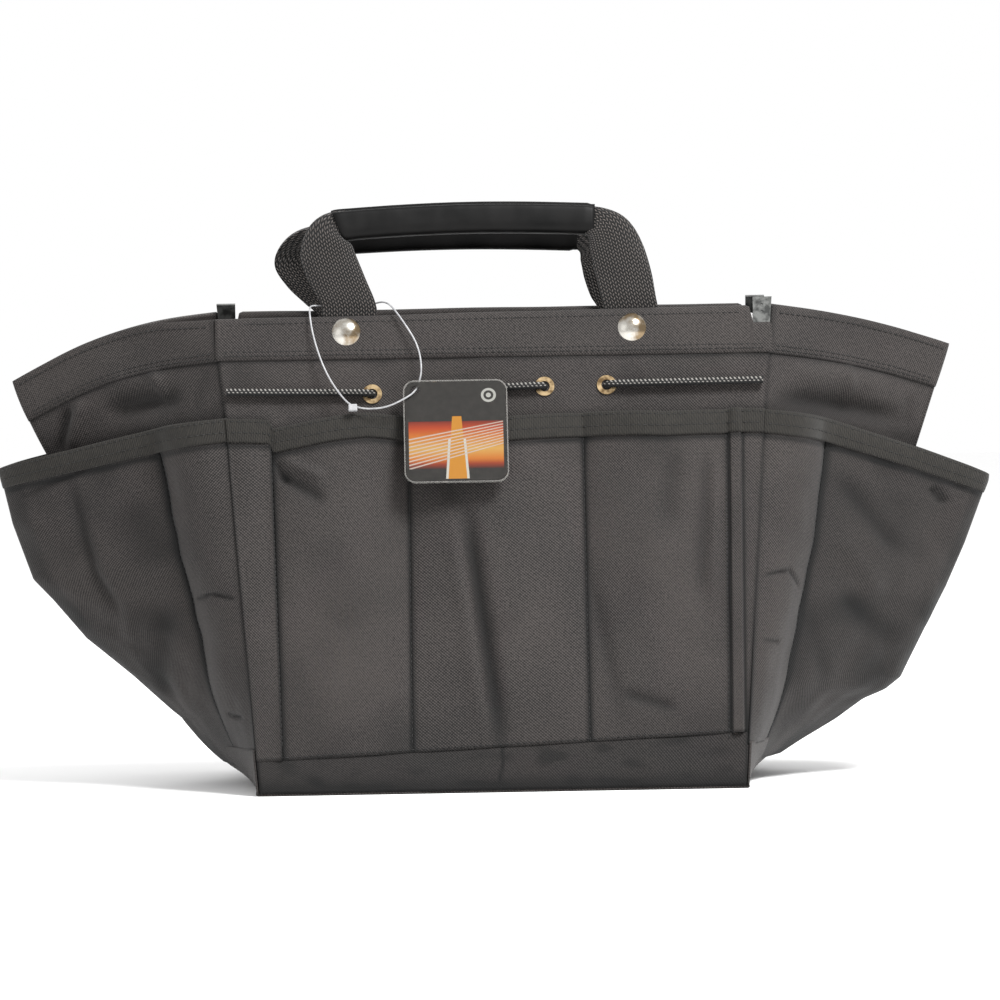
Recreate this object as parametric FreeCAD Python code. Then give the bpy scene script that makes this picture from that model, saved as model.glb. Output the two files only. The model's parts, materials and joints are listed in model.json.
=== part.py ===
"""Open-topped garden tool bag of woven polyester, standing with its mouth drawn together.

Millimetres. Origin at the middle of the flat bottom, +Z up, -Y the front, X along the length.
Each long wall is drawn upright in its own frame, X along, -Y outwards, Z up from the fold at the
bottom, and is then leaned inwards about that fold. The rear wall is the front one mirrored. The two
ends are gussets that bulge outwards to a crease at mid-depth.
"""
import FreeCAD, Part
import math
import os

from FreeCAD import Placement, Rotation, Vector

# Driving dimensions.
BASE_HALF_DEPTH = 117.0
LEAN_DEG = 15.0
WALL_TOP = 277.5
HALF_WIDTH = ((0.0, 135.5), (212.0, 149.5), (WALL_TOP, 157.0))  # height up the wall, half width
SEAM_GAP = 0.5  # from a wall's cloth to the seam line, and the same again to the gusset
CLOTH = 1.6  # lined body cloth
POCKET_CLOTH = 1.2
BINDING = 2.4  # folded tape over the pocket's edge
WALL_FOOT = 3.0
END_FOOT = 1.7  # the gussets stand on the bottom cloth
BAND_TOP = 26.0
POCKET_TOP = 204.0
BINDING_TOP = 217.0
HEM_FOOT = 250.0
HEM_OUT = 1.2
HEM_IN = 4.0
POCKET_DEPTH = 9.0  # how far a pocket's mouth stands off the wall

STITCHES = ((-122.5, -126.5), (-50.0, -49.0), (49.0, 49.0), (128.0, 131.0))  # x at foot, at top

BAR_FOOT, BAR_HEAD = 261.0, 273.0
BAR_THICK = 1.5
BAR_HALF = 151.0
CAP_START, CAP_FOOT, CAP_HEAD = 146.5, 260.8, 282.2
CAP_HALF_THICK = 1.5
BAR_MIDDLE = 1.4  # depth of the bar's mid-plane inside the hem

RIVET_X = (-83.0, 78.0)
RIVET_HEIGHT = 265.5
RIVET_CAP_R, RIVET_CAP_RISE, RIVET_SHANK_R = 8.0, 3.2, 2.5

CORD_R = 2.0
CORD_HEIGHTS = ((-155, 231), (-69, 229.2), (-34, 230.2), (28, 232), (155, 233))  # x, height
CORD_OUTSIDE, CORD_INSIDE = 3.6, 5.2  # the cord's centre, off the cloth's outer face
GROMMET_X = (-69.0, -34.0, 28.0, 63.0)
GROMMET_HOLE_R, GROMMET_BARREL_R, GROMMET_R, GROMMET_FLANGE = 3.0, 3.6, 5.5, 1.0

WEB = 30.0
WEB_THICK = 1.8
FOLD_LINE = (2.0, WALL_TOP + 1.5)  # a handle folds about this line: outwards, up
FRONT_HANDLE = {"grip_x": -17.0, "grip_rise": 54.0, "sway": -9.0}
REAR_HANDLE = {"grip_x": -24.0, "grip_rise": 43.0, "sway": -14.0}
GRIP_HALF = 70.0
GRIP_HEIGHT, GRIP_THICK = 18.0, 12.0
CORE_HEIGHT, CORE_THICK = 14.0, 6.0

TAG_WIDTH, TAG_HEIGHT, TAG_CORNER = 56.4, 59.5, 5.5
TAG_TOP, TAG_X, TAG_OFF, TAG_TILT_DEG = 232.8, -22.5, 10.2, 8.0
TAG_HOLE = (-22.5, -4.9)  # from the middle of the top edge
TAG_HOLE_R = 2.5
CARD_THICK, SLEEVE_THICK, SLEEVE_MARGIN = 0.8, 1.6, 1.0
LOOP_R = 0.5

WING_CLOTH_LENGTH = 117.0  # from the seam to the crease, and a little more at the top
HEM_DROP = 0.8955  # the crease's height as a share of the seam's
WING_STITCH = 0.40  # a stitch line's place between seam and crease
POCKET_CREASE = ((3, 149), (14, 164), (33, 186), (55, 209), (80, 230), (115, 250), (160, 266),
                 (BINDING_TOP, 277))  # height up the wall, x of the pocket layer's crease

LEAN = math.radians(LEAN_DEG)
NODES = {}


def between(table, at):
    """Straight-line value of a table of (place, value) at a place."""
    for (p0, v0), (p1, v1) in zip(table, table[1:]):
        if at <= p1:
            break
    return v0 + (v1 - v0) * (at - p0) / (p1 - p0)


def half_width(w):
    return between(HALF_WIDTH, w)


def polygon(points):
    return Part.makePolygon([Vector(*p) for p in points] + [Vector(*points[0])])


def loft(sections):
    """A closed solid ruled through sections, each a list of corner points."""
    return Part.makeLoft([polygon(s) for s in sections], True, True)


def plate(outline, inner, outer):
    """An upright plate from an (x, z) outline, between two distances off the wall's outer face."""
    face = Part.Face(polygon([(x, -outer, z) for x, z in outline]))
    return face.extrude(Vector(0, outer - inner, 0))


def drill(x, z, radius, inner=-12.0, outer=12.0):
    return Part.makeCylinder(radius, outer - inner, Vector(x, -outer, z), Vector(0, 1, 0))


def thicken(points, thick, start=None, end=None):
    """A closed outline from an open line of (x, y) points and its copy `thick` to the right.

    `start` and `end` are the directions of the two end faces, square to the line if left out.
    """
    moved = []
    for i, (x, y) in enumerate(points):
        ahead = points[min(i + 1, len(points) - 1)]
        behind = points[max(i - 1, 0)]
        sides = []
        for (ax, ay), (bx, by) in (((x, y), ahead), (behind, (x, y))):
            run = math.hypot(bx - ax, by - ay)
            if run > 0:
                sides.append(((by - ay) / run, -(bx - ax) / run))
        nx = sum(s[0] for s in sides) / len(sides)
        ny = sum(s[1] for s in sides) / len(sides)
        square = nx * nx + ny * ny
        face = start if i == 0 else end if i == len(points) - 1 else None
        if face:
            square = nx * face[0] + ny * face[1]
            nx, ny = face
        moved.append((x + nx * thick / square, y + ny * thick / square))
    return points + moved[::-1]


def tube(points, radius, bends=None):
    """A round cord along straight runs joined by tangent arcs, and its bend radii and length.

    An arc takes 0.45 of the shorter run at each side, unless `bends` gives the radius of them all.
    """
    points = [Vector(*p) for p in points]
    edges, radii, start = [], [], points[0]
    for before, here, after in zip(points, points[1:], points[2:]):
        back, on = (before - here).normalize(), (after - here).normalize()
        half_turn = (math.pi - back.getAngle(on)) / 2
        if bends:
            cut = bends * math.tan(half_turn)
        else:
            cut = 0.45 * min((before - here).Length, (after - here).Length)
        radii.append(cut / math.tan(half_turn))
        first, last = here + back * cut, here + on * cut
        to_centre = (back + on).normalize() * (cut / math.sin(half_turn))
        centre = here + to_centre
        middle = centre - (back + on).normalize() * radii[-1]
        if (first - start).Length > 1e-6:
            edges.append(Part.LineSegment(start, first).toShape())
        edges.append(Part.Arc(first, middle, last).toShape())
        start = last
    edges.append(Part.LineSegment(start, points[-1]).toShape())
    path = Part.Wire(edges)
    ring = Part.Wire(Part.makeCircle(radius, points[0], points[1] - points[0]))
    return path.makePipeShell([ring], True, False), radii, path.Length


def keep(name, *solids):
    shape = solids[0] if len(solids) == 1 else Part.makeCompound(list(solids))
    if name in NODES:
        raise ValueError(name)
    NODES[name] = shape


def leaned(shape):
    """From the wall's own frame to the bag's."""
    moved = shape.copy()
    moved.Placement = Placement(
        Vector(0, -BASE_HALF_DEPTH, 0), Rotation(Vector(1, 0, 0), -LEAN_DEG)
    ).multiply(moved.Placement)
    return moved


def to_rear(shape):
    return shape.mirror(Vector(0, 0, 0), Vector(0, 1, 0))


# The long walls.


def wall_panel():
    rim = [(half_width(w) - SEAM_GAP, w) for w in (WALL_FOOT, HALF_WIDTH[1][0], HEM_FOOT)]
    outline = rim + [(-x, w) for x, w in rim[::-1]]
    panel = plate(outline, -CLOTH, 0)
    for x in GROMMET_X:
        panel = panel.cut(drill(x, between(CORD_HEIGHTS, x), GROMMET_BARREL_R))
    return panel


def wall_hem():
    """The folded top edge: a flat tunnel for the frame bar, cut down at its ends over the bar's caps."""
    notch_x, notch_w = CAP_START - 3.2, 268.0
    side = [
        (half_width(HEM_FOOT) - SEAM_GAP, HEM_FOOT),
        (half_width(notch_w) - SEAM_GAP, notch_w),
        (notch_x, notch_w),
        (notch_x, WALL_TOP),
    ]
    hem = plate(side + [(-x, w) for x, w in side[::-1]], -HEM_IN, HEM_OUT)
    tunnel = [(-notch_x - 1, BAR_FOOT - 0.2), (notch_x + 1, BAR_FOOT - 0.2),
              (notch_x + 1, BAR_HEAD + 0.2), (-notch_x - 1, BAR_HEAD + 0.2)]
    hem = hem.cut(plate(tunnel, -BAR_MIDDLE - 0.9, -BAR_MIDDLE + 0.9))
    for side in (-1, 1):
        ends = [(side * notch_x, CAP_FOOT - 0.2), (side * 170, CAP_FOOT - 0.2),
                (side * 170, WALL_TOP + 5), (side * notch_x, WALL_TOP + 5)]
        hem = hem.cut(plate(ends, -BAR_MIDDLE - CAP_HALF_THICK - 0.15,
                            -BAR_MIDDLE + CAP_HALF_THICK + 0.15))
    for x in RIVET_X:
        hem = hem.cut(drill(x, RIVET_HEIGHT, RIVET_SHANK_R + 0.1))
    return hem


def frame_bar():
    outline = [(-BAR_HALF, BAR_FOOT), (BAR_HALF, BAR_FOOT), (BAR_HALF, BAR_HEAD),
               (-BAR_HALF, BAR_HEAD)]
    bar = plate(outline, -BAR_MIDDLE - BAR_THICK / 2, -BAR_MIDDLE + BAR_THICK / 2)
    for x in RIVET_X:
        bar = bar.cut(drill(x, RIVET_HEIGHT, RIVET_SHANK_R + 0.1))
    return bar


def bar_caps(tucked=False):
    """A folded sheet clip on each end of the bar, with two small dimples in its outer face.

    A tucked one at the left stays low, inside the hem.
    """
    caps = []
    for side in (-1, 1):
        low = tucked and side < 0
        first, head = (CAP_START - 2.6, 273.5) if low else (CAP_START, CAP_HEAD)
        margin = -0.8 if low else 0.25
        ends = [side * (half_width(min(w, WALL_TOP)) + margin) for w in (CAP_FOOT, head)]
        start = side * first
        outline = [(start, CAP_FOOT), (ends[0], CAP_FOOT), (ends[1], head), (start, head)]
        cap = plate(outline, -BAR_MIDDLE - CAP_HALF_THICK, -BAR_MIDDLE + CAP_HALF_THICK)
        slot = [(start - side, BAR_FOOT - 0.05), (side * (BAR_HALF + 0.1), BAR_FOOT - 0.05),
                (side * (BAR_HALF + 0.1), BAR_HEAD + 0.05), (start - side, BAR_HEAD + 0.05)]
        cap = cap.cut(plate(slot, -BAR_MIDDLE - BAR_THICK / 2 - 0.02,
                            -BAR_MIDDLE + BAR_THICK / 2 + 0.02))
        for up in (267.0, 270.5) if low else (273.5, 277.5):
            face = -BAR_MIDDLE + CAP_HALF_THICK
            cap = cap.cut(drill(side * (first + 5), up, 0.8, face - 0.4, face + 1))
        caps.append(cap)
    return caps


def pocket_bulge(w):
    return between(((BAND_TOP, 0.6), (60, 3.6), (120, 6.8), (POCKET_TOP, POCKET_DEPTH),
                    (BINDING_TOP, POCKET_DEPTH + 0.4)), w)


def bulged(x0, x1, depth):
    """Points along a pocket's inner face, (x, -distance off the wall), from stitch to stitch."""
    shape = ((0, 0), (0.12, 0.55), (0.3, 0.92), (0.5, 1.0), (0.7, 0.92), (0.88, 0.55), (1, 0))
    return [(x0 + (x1 - x0) * along, -depth * off) for along, off in shape]


def stitch_x(stitch, w):
    return between(((BAND_TOP, stitch[0]), (BINDING_TOP, stitch[1])), w)


def wall_pocket(left, right):
    """A pocket's cloth from one stitch line to the next, standing off more and more to its mouth."""
    sections = []
    for w in (BAND_TOP, 60.0, 120.0, POCKET_TOP):
        line = bulged(stitch_x(left, w) + 0.2, stitch_x(right, w) - 0.2, pocket_bulge(w))
        outline = thicken(line, POCKET_CLOTH, (0, -1), (0, -1))
        sections.append([(x, y, w) for x, y in outline])
    return loft(sections)


def wall_binding():
    """The tape along the pockets' mouths, from seam to seam."""
    sections = []
    for w in (POCKET_TOP, BINDING_TOP):
        edge = half_width(w) - SEAM_GAP
        line = [(-edge, 0)]
        for left, right in zip(STITCHES, STITCHES[1:]):
            line += bulged(stitch_x(left, w), stitch_x(right, w), pocket_bulge(w))[:-1]
        line += [(stitch_x(STITCHES[-1], w), 0), (edge, 0)]
        sections.append([(x, y, w) for x, y in thicken(line, BINDING)])
    return loft(sections)


def wall_side_strips():
    """The flat edge of the pocket layer between the outer stitch lines and the corner seams."""
    strips = []
    for side, stitch in ((-1, STITCHES[0]), (1, STITCHES[-1])):
        edge = [(side * (half_width(w) - SEAM_GAP), w) for w in (BAND_TOP, POCKET_TOP)]
        inner = [(stitch_x(stitch, w), w) for w in (POCKET_TOP, BAND_TOP)]
        strips.append(plate(edge + inner, 0, POCKET_CLOTH))
    return strips


def wall_band():
    low, high = half_width(WALL_FOOT) - SEAM_GAP, half_width(BAND_TOP) - SEAM_GAP
    outline = [(-low, WALL_FOOT), (low, WALL_FOOT), (high, BAND_TOP), (-high, BAND_TOP)]
    return plate(outline, 0, POCKET_CLOTH)


def rivet_caps():
    """Domed caps on shanks that pass the hem, the bar and the webbing, clinched at the inner end."""
    ball_r = (RIVET_CAP_R ** 2 + RIVET_CAP_RISE ** 2) / (2 * RIVET_CAP_RISE)
    rivets = []
    inner = -(HEM_IN + WEB_THICK + 0.8)
    for x in RIVET_X:
        ball = Part.makeSphere(ball_r, Vector(x, -(HEM_OUT + RIVET_CAP_RISE - ball_r), RIVET_HEIGHT))
        dome = ball.common(drill(x, RIVET_HEIGHT, RIVET_CAP_R + 1, HEM_OUT, HEM_OUT + 6))
        shank = drill(x, RIVET_HEIGHT, RIVET_SHANK_R, inner, HEM_OUT + 0.5)
        clinch = drill(x, RIVET_HEIGHT, RIVET_SHANK_R + 1.1, inner - 0.8, inner)
        rivets.append(dome.fuse([shank, clinch]).removeSplitter())
    return rivets


def ring(x, w, hole, radius, inner, outer):
    return drill(x, w, radius, inner, outer).cut(drill(x, w, hole))


def handle_anchors():
    """The webbing's riveted ends, inside the hem."""
    anchors = []
    for x in RIVET_X:
        x0, x1 = x - WEB / 2, x + WEB / 2
        outline = [(x0, 247.0), (x1, 247.0), (x1, WALL_TOP - 0.5), (x0, WALL_TOP - 0.5)]
        foot = plate(outline, -HEM_IN - WEB_THICK, -HEM_IN)
        anchors.append(foot.cut(drill(x, RIVET_HEIGHT, RIVET_SHANK_R + 0.1)))
    return anchors


def grommets():
    """An eyelet's front flange and the barrel that goes through the cloth."""
    eyelets = []
    for x in GROMMET_X:
        height = between(CORD_HEIGHTS, x)
        flange = drill(x, height, GROMMET_R, 0, GROMMET_FLANGE)
        barrel = drill(x, height, GROMMET_BARREL_R, -CLOTH, 0.1)
        bore = drill(x, height, GROMMET_HOLE_R)
        eyelets.append(flange.fuse(barrel).cut(bore).removeSplitter())
    return eyelets


def elastic_cord():
    """Elastic from corner seam to corner seam: out, in and out again through the four eyelets."""
    end = half_width(CORD_HEIGHTS[0][1]) - SEAM_GAP - 0.3
    points = [(-end, -CORD_OUTSIDE, between(CORD_HEIGHTS, -end))]
    for i, x in enumerate(GROMMET_X):
        height = between(CORD_HEIGHTS, x)
        outside, inside = (x, -CORD_OUTSIDE, height), (x, CORD_INSIDE, height)
        points += [outside, inside] if i % 2 == 0 else [inside, outside]
    points.append((end, -CORD_OUTSIDE, between(CORD_HEIGHTS, end)))
    bend = (CORD_OUTSIDE + CORD_INSIDE) / 2 - 0.005
    return tube(points, CORD_R, bend)


def handle(grip_x, grip_rise, sway):
    """The webbing from one foot to the other, folded lengthwise in the grip, and the grip.

    A section is its middle (x, rise), its width and thickness, and how far the webbing has turned
    from straight up towards +X.
    """
    left, right = grip_x - GRIP_HALF, grip_x + GRIP_HALF
    top = grip_rise
    path = [
        (RIVET_X[0], 1.0, WEB, WEB_THICK, 0),
        (RIVET_X[0] + 0.2 * sway, 11, WEB, WEB_THICK, 0),
        (RIVET_X[0] + sway, 0.54 * top, WEB, 2.6, 0),
        (left - 5, top - 11, 22, 5.0, 0),
        (left, top - 4, 16, CORE_THICK, 45),
        (left + 6, top - 1.5, CORE_HEIGHT, CORE_THICK, 80),
        (grip_x - 24, top + 1.4, CORE_HEIGHT, CORE_THICK, 89),
        (grip_x + 24, top + 1.4, CORE_HEIGHT, CORE_THICK, 91),
        (right - 6, top - 1.5, CORE_HEIGHT, CORE_THICK, 100),
        (right, top - 4, 16, CORE_THICK, 135),
        (right + 6, top - 11, 22, 5.0, 180),
        (RIVET_X[1] + 0.35 * sway, 0.54 * top, WEB, 2.6, 180),
        (RIVET_X[1], 11, WEB, WEB_THICK, 180),
        (RIVET_X[1], 1.0, WEB, WEB_THICK, 180),
    ]
    middle = HEM_IN + WEB_THICK / 2

    def section(x, rise, width, thick, turn, grow=0.0):
        across = Vector(math.cos(math.radians(turn)), 0, -math.sin(math.radians(turn)))
        out = Vector(0, -1, 0)
        centre = Vector(x, middle, WALL_TOP + rise)
        half, depth = width / 2 + grow, thick / 2 + grow
        corners = ((-half, -depth), (half, -depth), (half, depth), (-half, depth))
        return [tuple(centre + across * a + out * b) for a, b in corners]

    webbing = loft([section(*p) for p in path])
    sleeve_path = path[5:9]
    extra_height, extra_thick = GRIP_HEIGHT - CORE_HEIGHT, GRIP_THICK - CORE_THICK
    outer = [section(x, z, width + extra_height, thick + extra_thick, turn)
             for x, z, width, thick, turn in sleeve_path]
    inner = [section(*p, 0.02) for p in sleeve_path]
    grip = loft(outer).cut(loft(inner))
    return webbing, grip


def tag():
    """A printed card inside a clear sleeve, hung by its corner hole."""

    def rounded(width, height, corner, thick, back):
        box = Part.makeBox(width, thick, height, Vector(-width / 2, -back - thick, -height))
        upright = [e for e in box.Edges if abs(e.tangentAt(e.FirstParameter).y) > 0.9]
        return box.makeFillet(corner, upright)

    def hole(radius):
        x, z = TAG_HOLE
        return Part.makeCylinder(radius, 10, Vector(x, -5, z), Vector(0, 1, 0))

    def placed(shape):
        moved = shape.copy()
        moved.Placement = Placement(
            Vector(TAG_X, -TAG_OFF, TAG_TOP), Rotation(Vector(1, 0, 0), -TAG_TILT_DEG)
        ).multiply(moved.Placement)
        return moved

    gap = (SLEEVE_THICK - CARD_THICK) / 2
    card = rounded(TAG_WIDTH, TAG_HEIGHT, TAG_CORNER, CARD_THICK, gap)
    pocket = rounded(TAG_WIDTH + 0.1, TAG_HEIGHT + 0.1, TAG_CORNER, CARD_THICK + 0.04, gap - 0.02)
    pocket.translate(Vector(0, 0, 0.05))
    sleeve = rounded(TAG_WIDTH + 2 * SLEEVE_MARGIN, TAG_HEIGHT + 2 * SLEEVE_MARGIN,
                     TAG_CORNER + SLEEVE_MARGIN, SLEEVE_THICK, 0)
    sleeve.translate(Vector(0, 0, SLEEVE_MARGIN))
    sleeve = sleeve.cut(pocket).cut(hole(TAG_HOLE_R))
    return placed(card.cut(hole(TAG_HOLE_R + 0.3))), placed(sleeve)


def tag_loop():
    """The nylon loop: behind the webbing, round its edge, down to the lock, through the tag's hole
    and up behind the tag to the webbing's other edge. Points are x, distance off the wall, height."""
    route = [
        (-81.5, -9.0, 281.9), (-92, -10.2, 282.6), (-102.5, -6.4, 283.4), (-103.8, 4.4, 277.4),
        (-101.7, 5.4, 261.5), (-96, 6.4, 243), (-88.5, 10.2, 228.5), (-80, 14.4, 217.8),
        (-62.5, 16.4, 216.6), (-48.5, 15.5, 223.8), (-45, 11.6, 227.9), (-43.2, 8.3, 231.3),
        (-40.6, 7.6, 241.5), (-42.8, 6.5, 256), (-50.5, 5.2, 269.5), (-57.5, 3.2, 280),
        (-61.5, -4.2, 284), (-65.5, -9.2, 284.6), (-72, -9.8, 283.2),
    ]
    return tube([(x, -off, w) for x, off, w in route], LOOP_R)


def loop_lock(loop):
    """The small moulded head that the loop's two ends snap into."""
    head = Part.makeBox(5.0, 3.2, 4.0, Vector(-82.5, -16.4, 216.0))
    head = head.makeFillet(0.7, head.Edges)
    return head.cut(loop)


# The ends. A wing's section is taken in a plane that contains the two seams and the crease.


def seam_point(w):
    return (half_width(w) + SEAM_GAP, -(BASE_HALF_DEPTH - w * math.sin(LEAN)), w * math.cos(LEAN))


def crease_x(w):
    """x of the gusset's own crease, from the length of cloth between seam and crease."""
    x, y, z = seam_point(w)
    length = WING_CLOTH_LENGTH + 1.5 * w / WALL_TOP
    reach = math.sqrt(max(length ** 2 - y ** 2 - (z * (1 - HEM_DROP)) ** 2, 0))
    free = (w - END_FOOT) / (w - END_FOOT + 4)  # held straight by the bottom seam
    return x + 0.05 + reach * free * (0.8 + 0.22 * w / WALL_TOP)


def wing_section(w, points, thick, start=None, end=None):
    """Corner points of a strip `thick` outwards from a line of (x, y), in the plane of height w."""
    x0, _, z0 = seam_point(w)
    slope = -z0 * (1 - HEM_DROP) / max(crease_x(w) - x0, 12.0)
    return [(x, y, z0 + slope * (x - x0)) for x, y in thicken(points, thick, start, end)]


def wing_line(w, start=0.0, stop=1.0):
    """Part of the gusset's front half: 0 is at the seam and 1 at the crease."""
    x0, y0, _ = seam_point(w)
    x1 = crease_x(w)
    return [(x0 + (x1 - x0) * share, y0 * (1 - share)) for share in (start, stop)]


def both_halves(front):
    """A gusset's front half and its mirror image, which meet at the crease."""
    return [front, to_rear(front)]


def at_crease(line):
    """Ends a line just short of the crease's plane, so the halves meet without overlap."""
    return line[:-1] + [(line[-1][0], line[-1][1] - 0.02)]


def wing_layer(heights, thick, off=0.0):
    front = loft([wing_section(w, [(x + off, y) for x, y in at_crease(wing_line(w))], thick,
                               end=(1, 0)) for w in heights])
    return both_halves(front)


def proud_crease(w):
    """The pocket layer's crease, which stands outside the gusset's own."""
    return max(between(POCKET_CREASE, w), crease_x(w) + 3.0)


def wing_normal(w):
    (ax, ay), (bx, by) = wing_line(w)
    run = math.hypot(bx - ax, by - ay)
    return (by - ay) / run, -(bx - ax) / run


def corner_pocket(heights, thick):
    """The narrow pocket between a front corner seam and the wing's stitch line."""
    sections = []
    for w in heights:
        (ax, ay), (bx, by) = wing_line(w, 0.0, WING_STITCH - 0.002)
        nx, ny = wing_normal(w)
        line = []
        for share, height in ((0, 0), (0.25, 0.85), (0.5, 1.0), (0.75, 0.85), (1, 0)):
            deep = CLOTH + 0.1 + pocket_bulge(w) * 0.9 * height
            line.append((ax + (bx - ax) * share + nx * deep, ay + (by - ay) * share + ny * deep))
        sections.append(wing_section(w, line, thick, (nx, ny), (nx, ny)))
    return loft(sections)


def crease_pocket(heights, thick):
    """The wide pocket round the crease, from the front stitch line to the rear one."""
    sections = []
    for w in heights:
        (bx, by), _ = wing_line(w, WING_STITCH + 0.002)
        nx, ny = wing_normal(w)
        start = (bx + nx * (CLOTH + 0.1), by + ny * (CLOTH + 0.1))
        tip = (proud_crease(w) - 2.0, 0.0)
        shift = pocket_bulge(w) * 0.5
        waist = ((start[0] + tip[0]) / 2 + nx * shift, (start[1] + tip[1]) / 2 + ny * shift)
        sections.append(wing_section(w, at_crease([start, waist, tip]), thick, (nx, ny), (1, 0)))
    return both_halves(loft(sections))


def end_binding():
    """The tape along the mouths of an end's three pockets, in lengths that meet at the stitches."""
    heights = (POCKET_TOP, BINDING_TOP)
    front = corner_pocket(heights, BINDING)
    return [front, *crease_pocket(heights, BINDING), to_rear(front)]


def build_wall(side, shapes):
    """Files the pieces of one long wall under their side's names."""
    for name, solids in shapes.items():
        placed = [leaned(s) for s in solids]
        if side == "rear":
            placed = [to_rear(s) for s in placed]
        keep(f"{side}_{name}", *placed)


cord, cord_radii, cord_length = elastic_cord()
loop, loop_radii, loop_length = tag_loop()
card, sleeve = tag()

wall = {
    "panel": [wall_panel()],
    "hem": [wall_hem()],
    "frame_bar": [frame_bar()],
    "pocket_left": [wall_pocket(STITCHES[0], STITCHES[1])],
    "pocket_middle": [wall_pocket(STITCHES[1], STITCHES[2])],
    "pocket_right": [wall_pocket(STITCHES[2], STITCHES[3])],
    "pocket_binding": [wall_binding()],
    "pocket_side_strips": wall_side_strips(),
    "bottom_band": [wall_band()],
    "rivet_caps": rivet_caps(),
    "rivet_washers": [ring(x, RIVET_HEIGHT, RIVET_SHANK_R + 0.1, 6.5, -HEM_IN - WEB_THICK - 0.8,
                           -HEM_IN - WEB_THICK) for x in RIVET_X],
    "handle_anchors": handle_anchors(),
    "grommets": grommets(),
    "grommet_washers": [ring(x, between(CORD_HEIGHTS, x), GROMMET_HOLE_R + 0.1, GROMMET_R,
                             -CLOTH - 0.9, -CLOTH) for x in GROMMET_X],
    "elastic_cord": [cord],
}
for wall_side in ("front", "rear"):
    build_wall(wall_side, {**wall, "bar_end_caps": bar_caps(wall_side == "front")})

for wall_side, lay in (("front", FRONT_HANDLE), ("rear", REAR_HANDLE)):
    webbing, grip = handle(**lay)
    build_wall(wall_side, {"handle_webbing": [webbing], "handle_grip": [grip]})

keep("tag_card", leaned(card))
keep("tag_sleeve", leaned(sleeve))
keep("tag_loop", leaned(loop))
keep("tag_loop_lock", leaned(loop_lock(loop)))

base_x = half_width(0) + SEAM_GAP + CLOTH
keep("base_panel", Part.makeBox(2 * base_x, 2 * BASE_HALF_DEPTH, CLOTH,
                                Vector(-base_x, -BASE_HALF_DEPTH, 0)))
board_x, board_y = base_x - 5, BASE_HALF_DEPTH - 5
keep("base_board", Part.makeBox(2 * board_x, 2 * board_y, 3.0, Vector(-board_x, -board_y, CLOTH)))

low, pocket = (END_FOOT, 8, 18, BAND_TOP - 4), (BAND_TOP, 40, 60, 85, 120, 160, POCKET_TOP)
ends = {
    "panel": wing_layer((*low, *pocket, HEM_FOOT), CLOTH),
    "hem": wing_layer((HEM_FOOT, WALL_TOP), 3.0),
    "bottom_band": wing_layer(low, POCKET_CLOTH, CLOTH + 0.4),
    "front_pocket": [corner_pocket(pocket, POCKET_CLOTH)],
    "crease_pocket": crease_pocket(pocket, POCKET_CLOTH),
    "rear_pocket": [to_rear(corner_pocket(pocket, POCKET_CLOTH))],
    "pocket_binding": end_binding(),
}
for piece, solids in ends.items():
    keep(f"right_end_{piece}", *solids)
    keep(f"left_end_{piece}", *[s.mirror(Vector(0, 0, 0), Vector(1, 0, 0)) for s in solids])

os.makedirs("parts", exist_ok=True)
for node, shape in NODES.items():
    if not shape.isValid() or shape.Volume <= 0:
        print("check", node, shape.isValid(), round(shape.Volume, 1))
    shape.exportStep(f"parts/{node}.step")

print(len(NODES), "nodes")
print("elastic", round(cord_length, 1), "bend", round(min(cord_radii), 2),
      "volume ratio", round(cord.Volume / (math.pi * CORD_R ** 2 * cord_length), 4))
print("loop", round(loop_length, 1), "bends", [round(r, 1) for r in loop_radii],
      "volume ratio", round(loop.Volume / (math.pi * LOOP_R ** 2 * loop_length), 4))
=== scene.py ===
"""The looks of the garden tool bag: cloth, tape, webbing, thread, metal and the swing tag."""
import json
import math

import bpy
from mathutils import Matrix, Vector, noise

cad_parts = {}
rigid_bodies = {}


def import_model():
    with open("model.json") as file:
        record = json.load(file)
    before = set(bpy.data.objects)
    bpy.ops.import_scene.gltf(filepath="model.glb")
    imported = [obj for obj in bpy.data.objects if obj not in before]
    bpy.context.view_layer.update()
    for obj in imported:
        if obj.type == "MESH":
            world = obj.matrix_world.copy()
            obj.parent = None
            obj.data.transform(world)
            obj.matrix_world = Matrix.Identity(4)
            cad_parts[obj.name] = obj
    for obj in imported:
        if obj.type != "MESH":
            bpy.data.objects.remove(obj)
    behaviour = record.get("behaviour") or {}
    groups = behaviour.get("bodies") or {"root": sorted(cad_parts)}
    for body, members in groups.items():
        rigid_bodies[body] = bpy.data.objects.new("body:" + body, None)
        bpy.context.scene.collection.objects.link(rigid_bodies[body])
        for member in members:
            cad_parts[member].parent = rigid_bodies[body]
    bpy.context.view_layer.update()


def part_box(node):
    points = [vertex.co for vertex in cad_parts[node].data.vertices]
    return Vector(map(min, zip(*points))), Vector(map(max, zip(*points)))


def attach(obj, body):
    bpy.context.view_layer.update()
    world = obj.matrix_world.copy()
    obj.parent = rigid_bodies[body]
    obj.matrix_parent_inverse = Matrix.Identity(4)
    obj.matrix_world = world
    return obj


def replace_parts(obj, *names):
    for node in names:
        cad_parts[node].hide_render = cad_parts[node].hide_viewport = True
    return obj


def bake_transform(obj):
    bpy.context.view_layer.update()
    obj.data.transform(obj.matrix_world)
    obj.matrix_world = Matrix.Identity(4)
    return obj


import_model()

MM = 0.001

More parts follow.
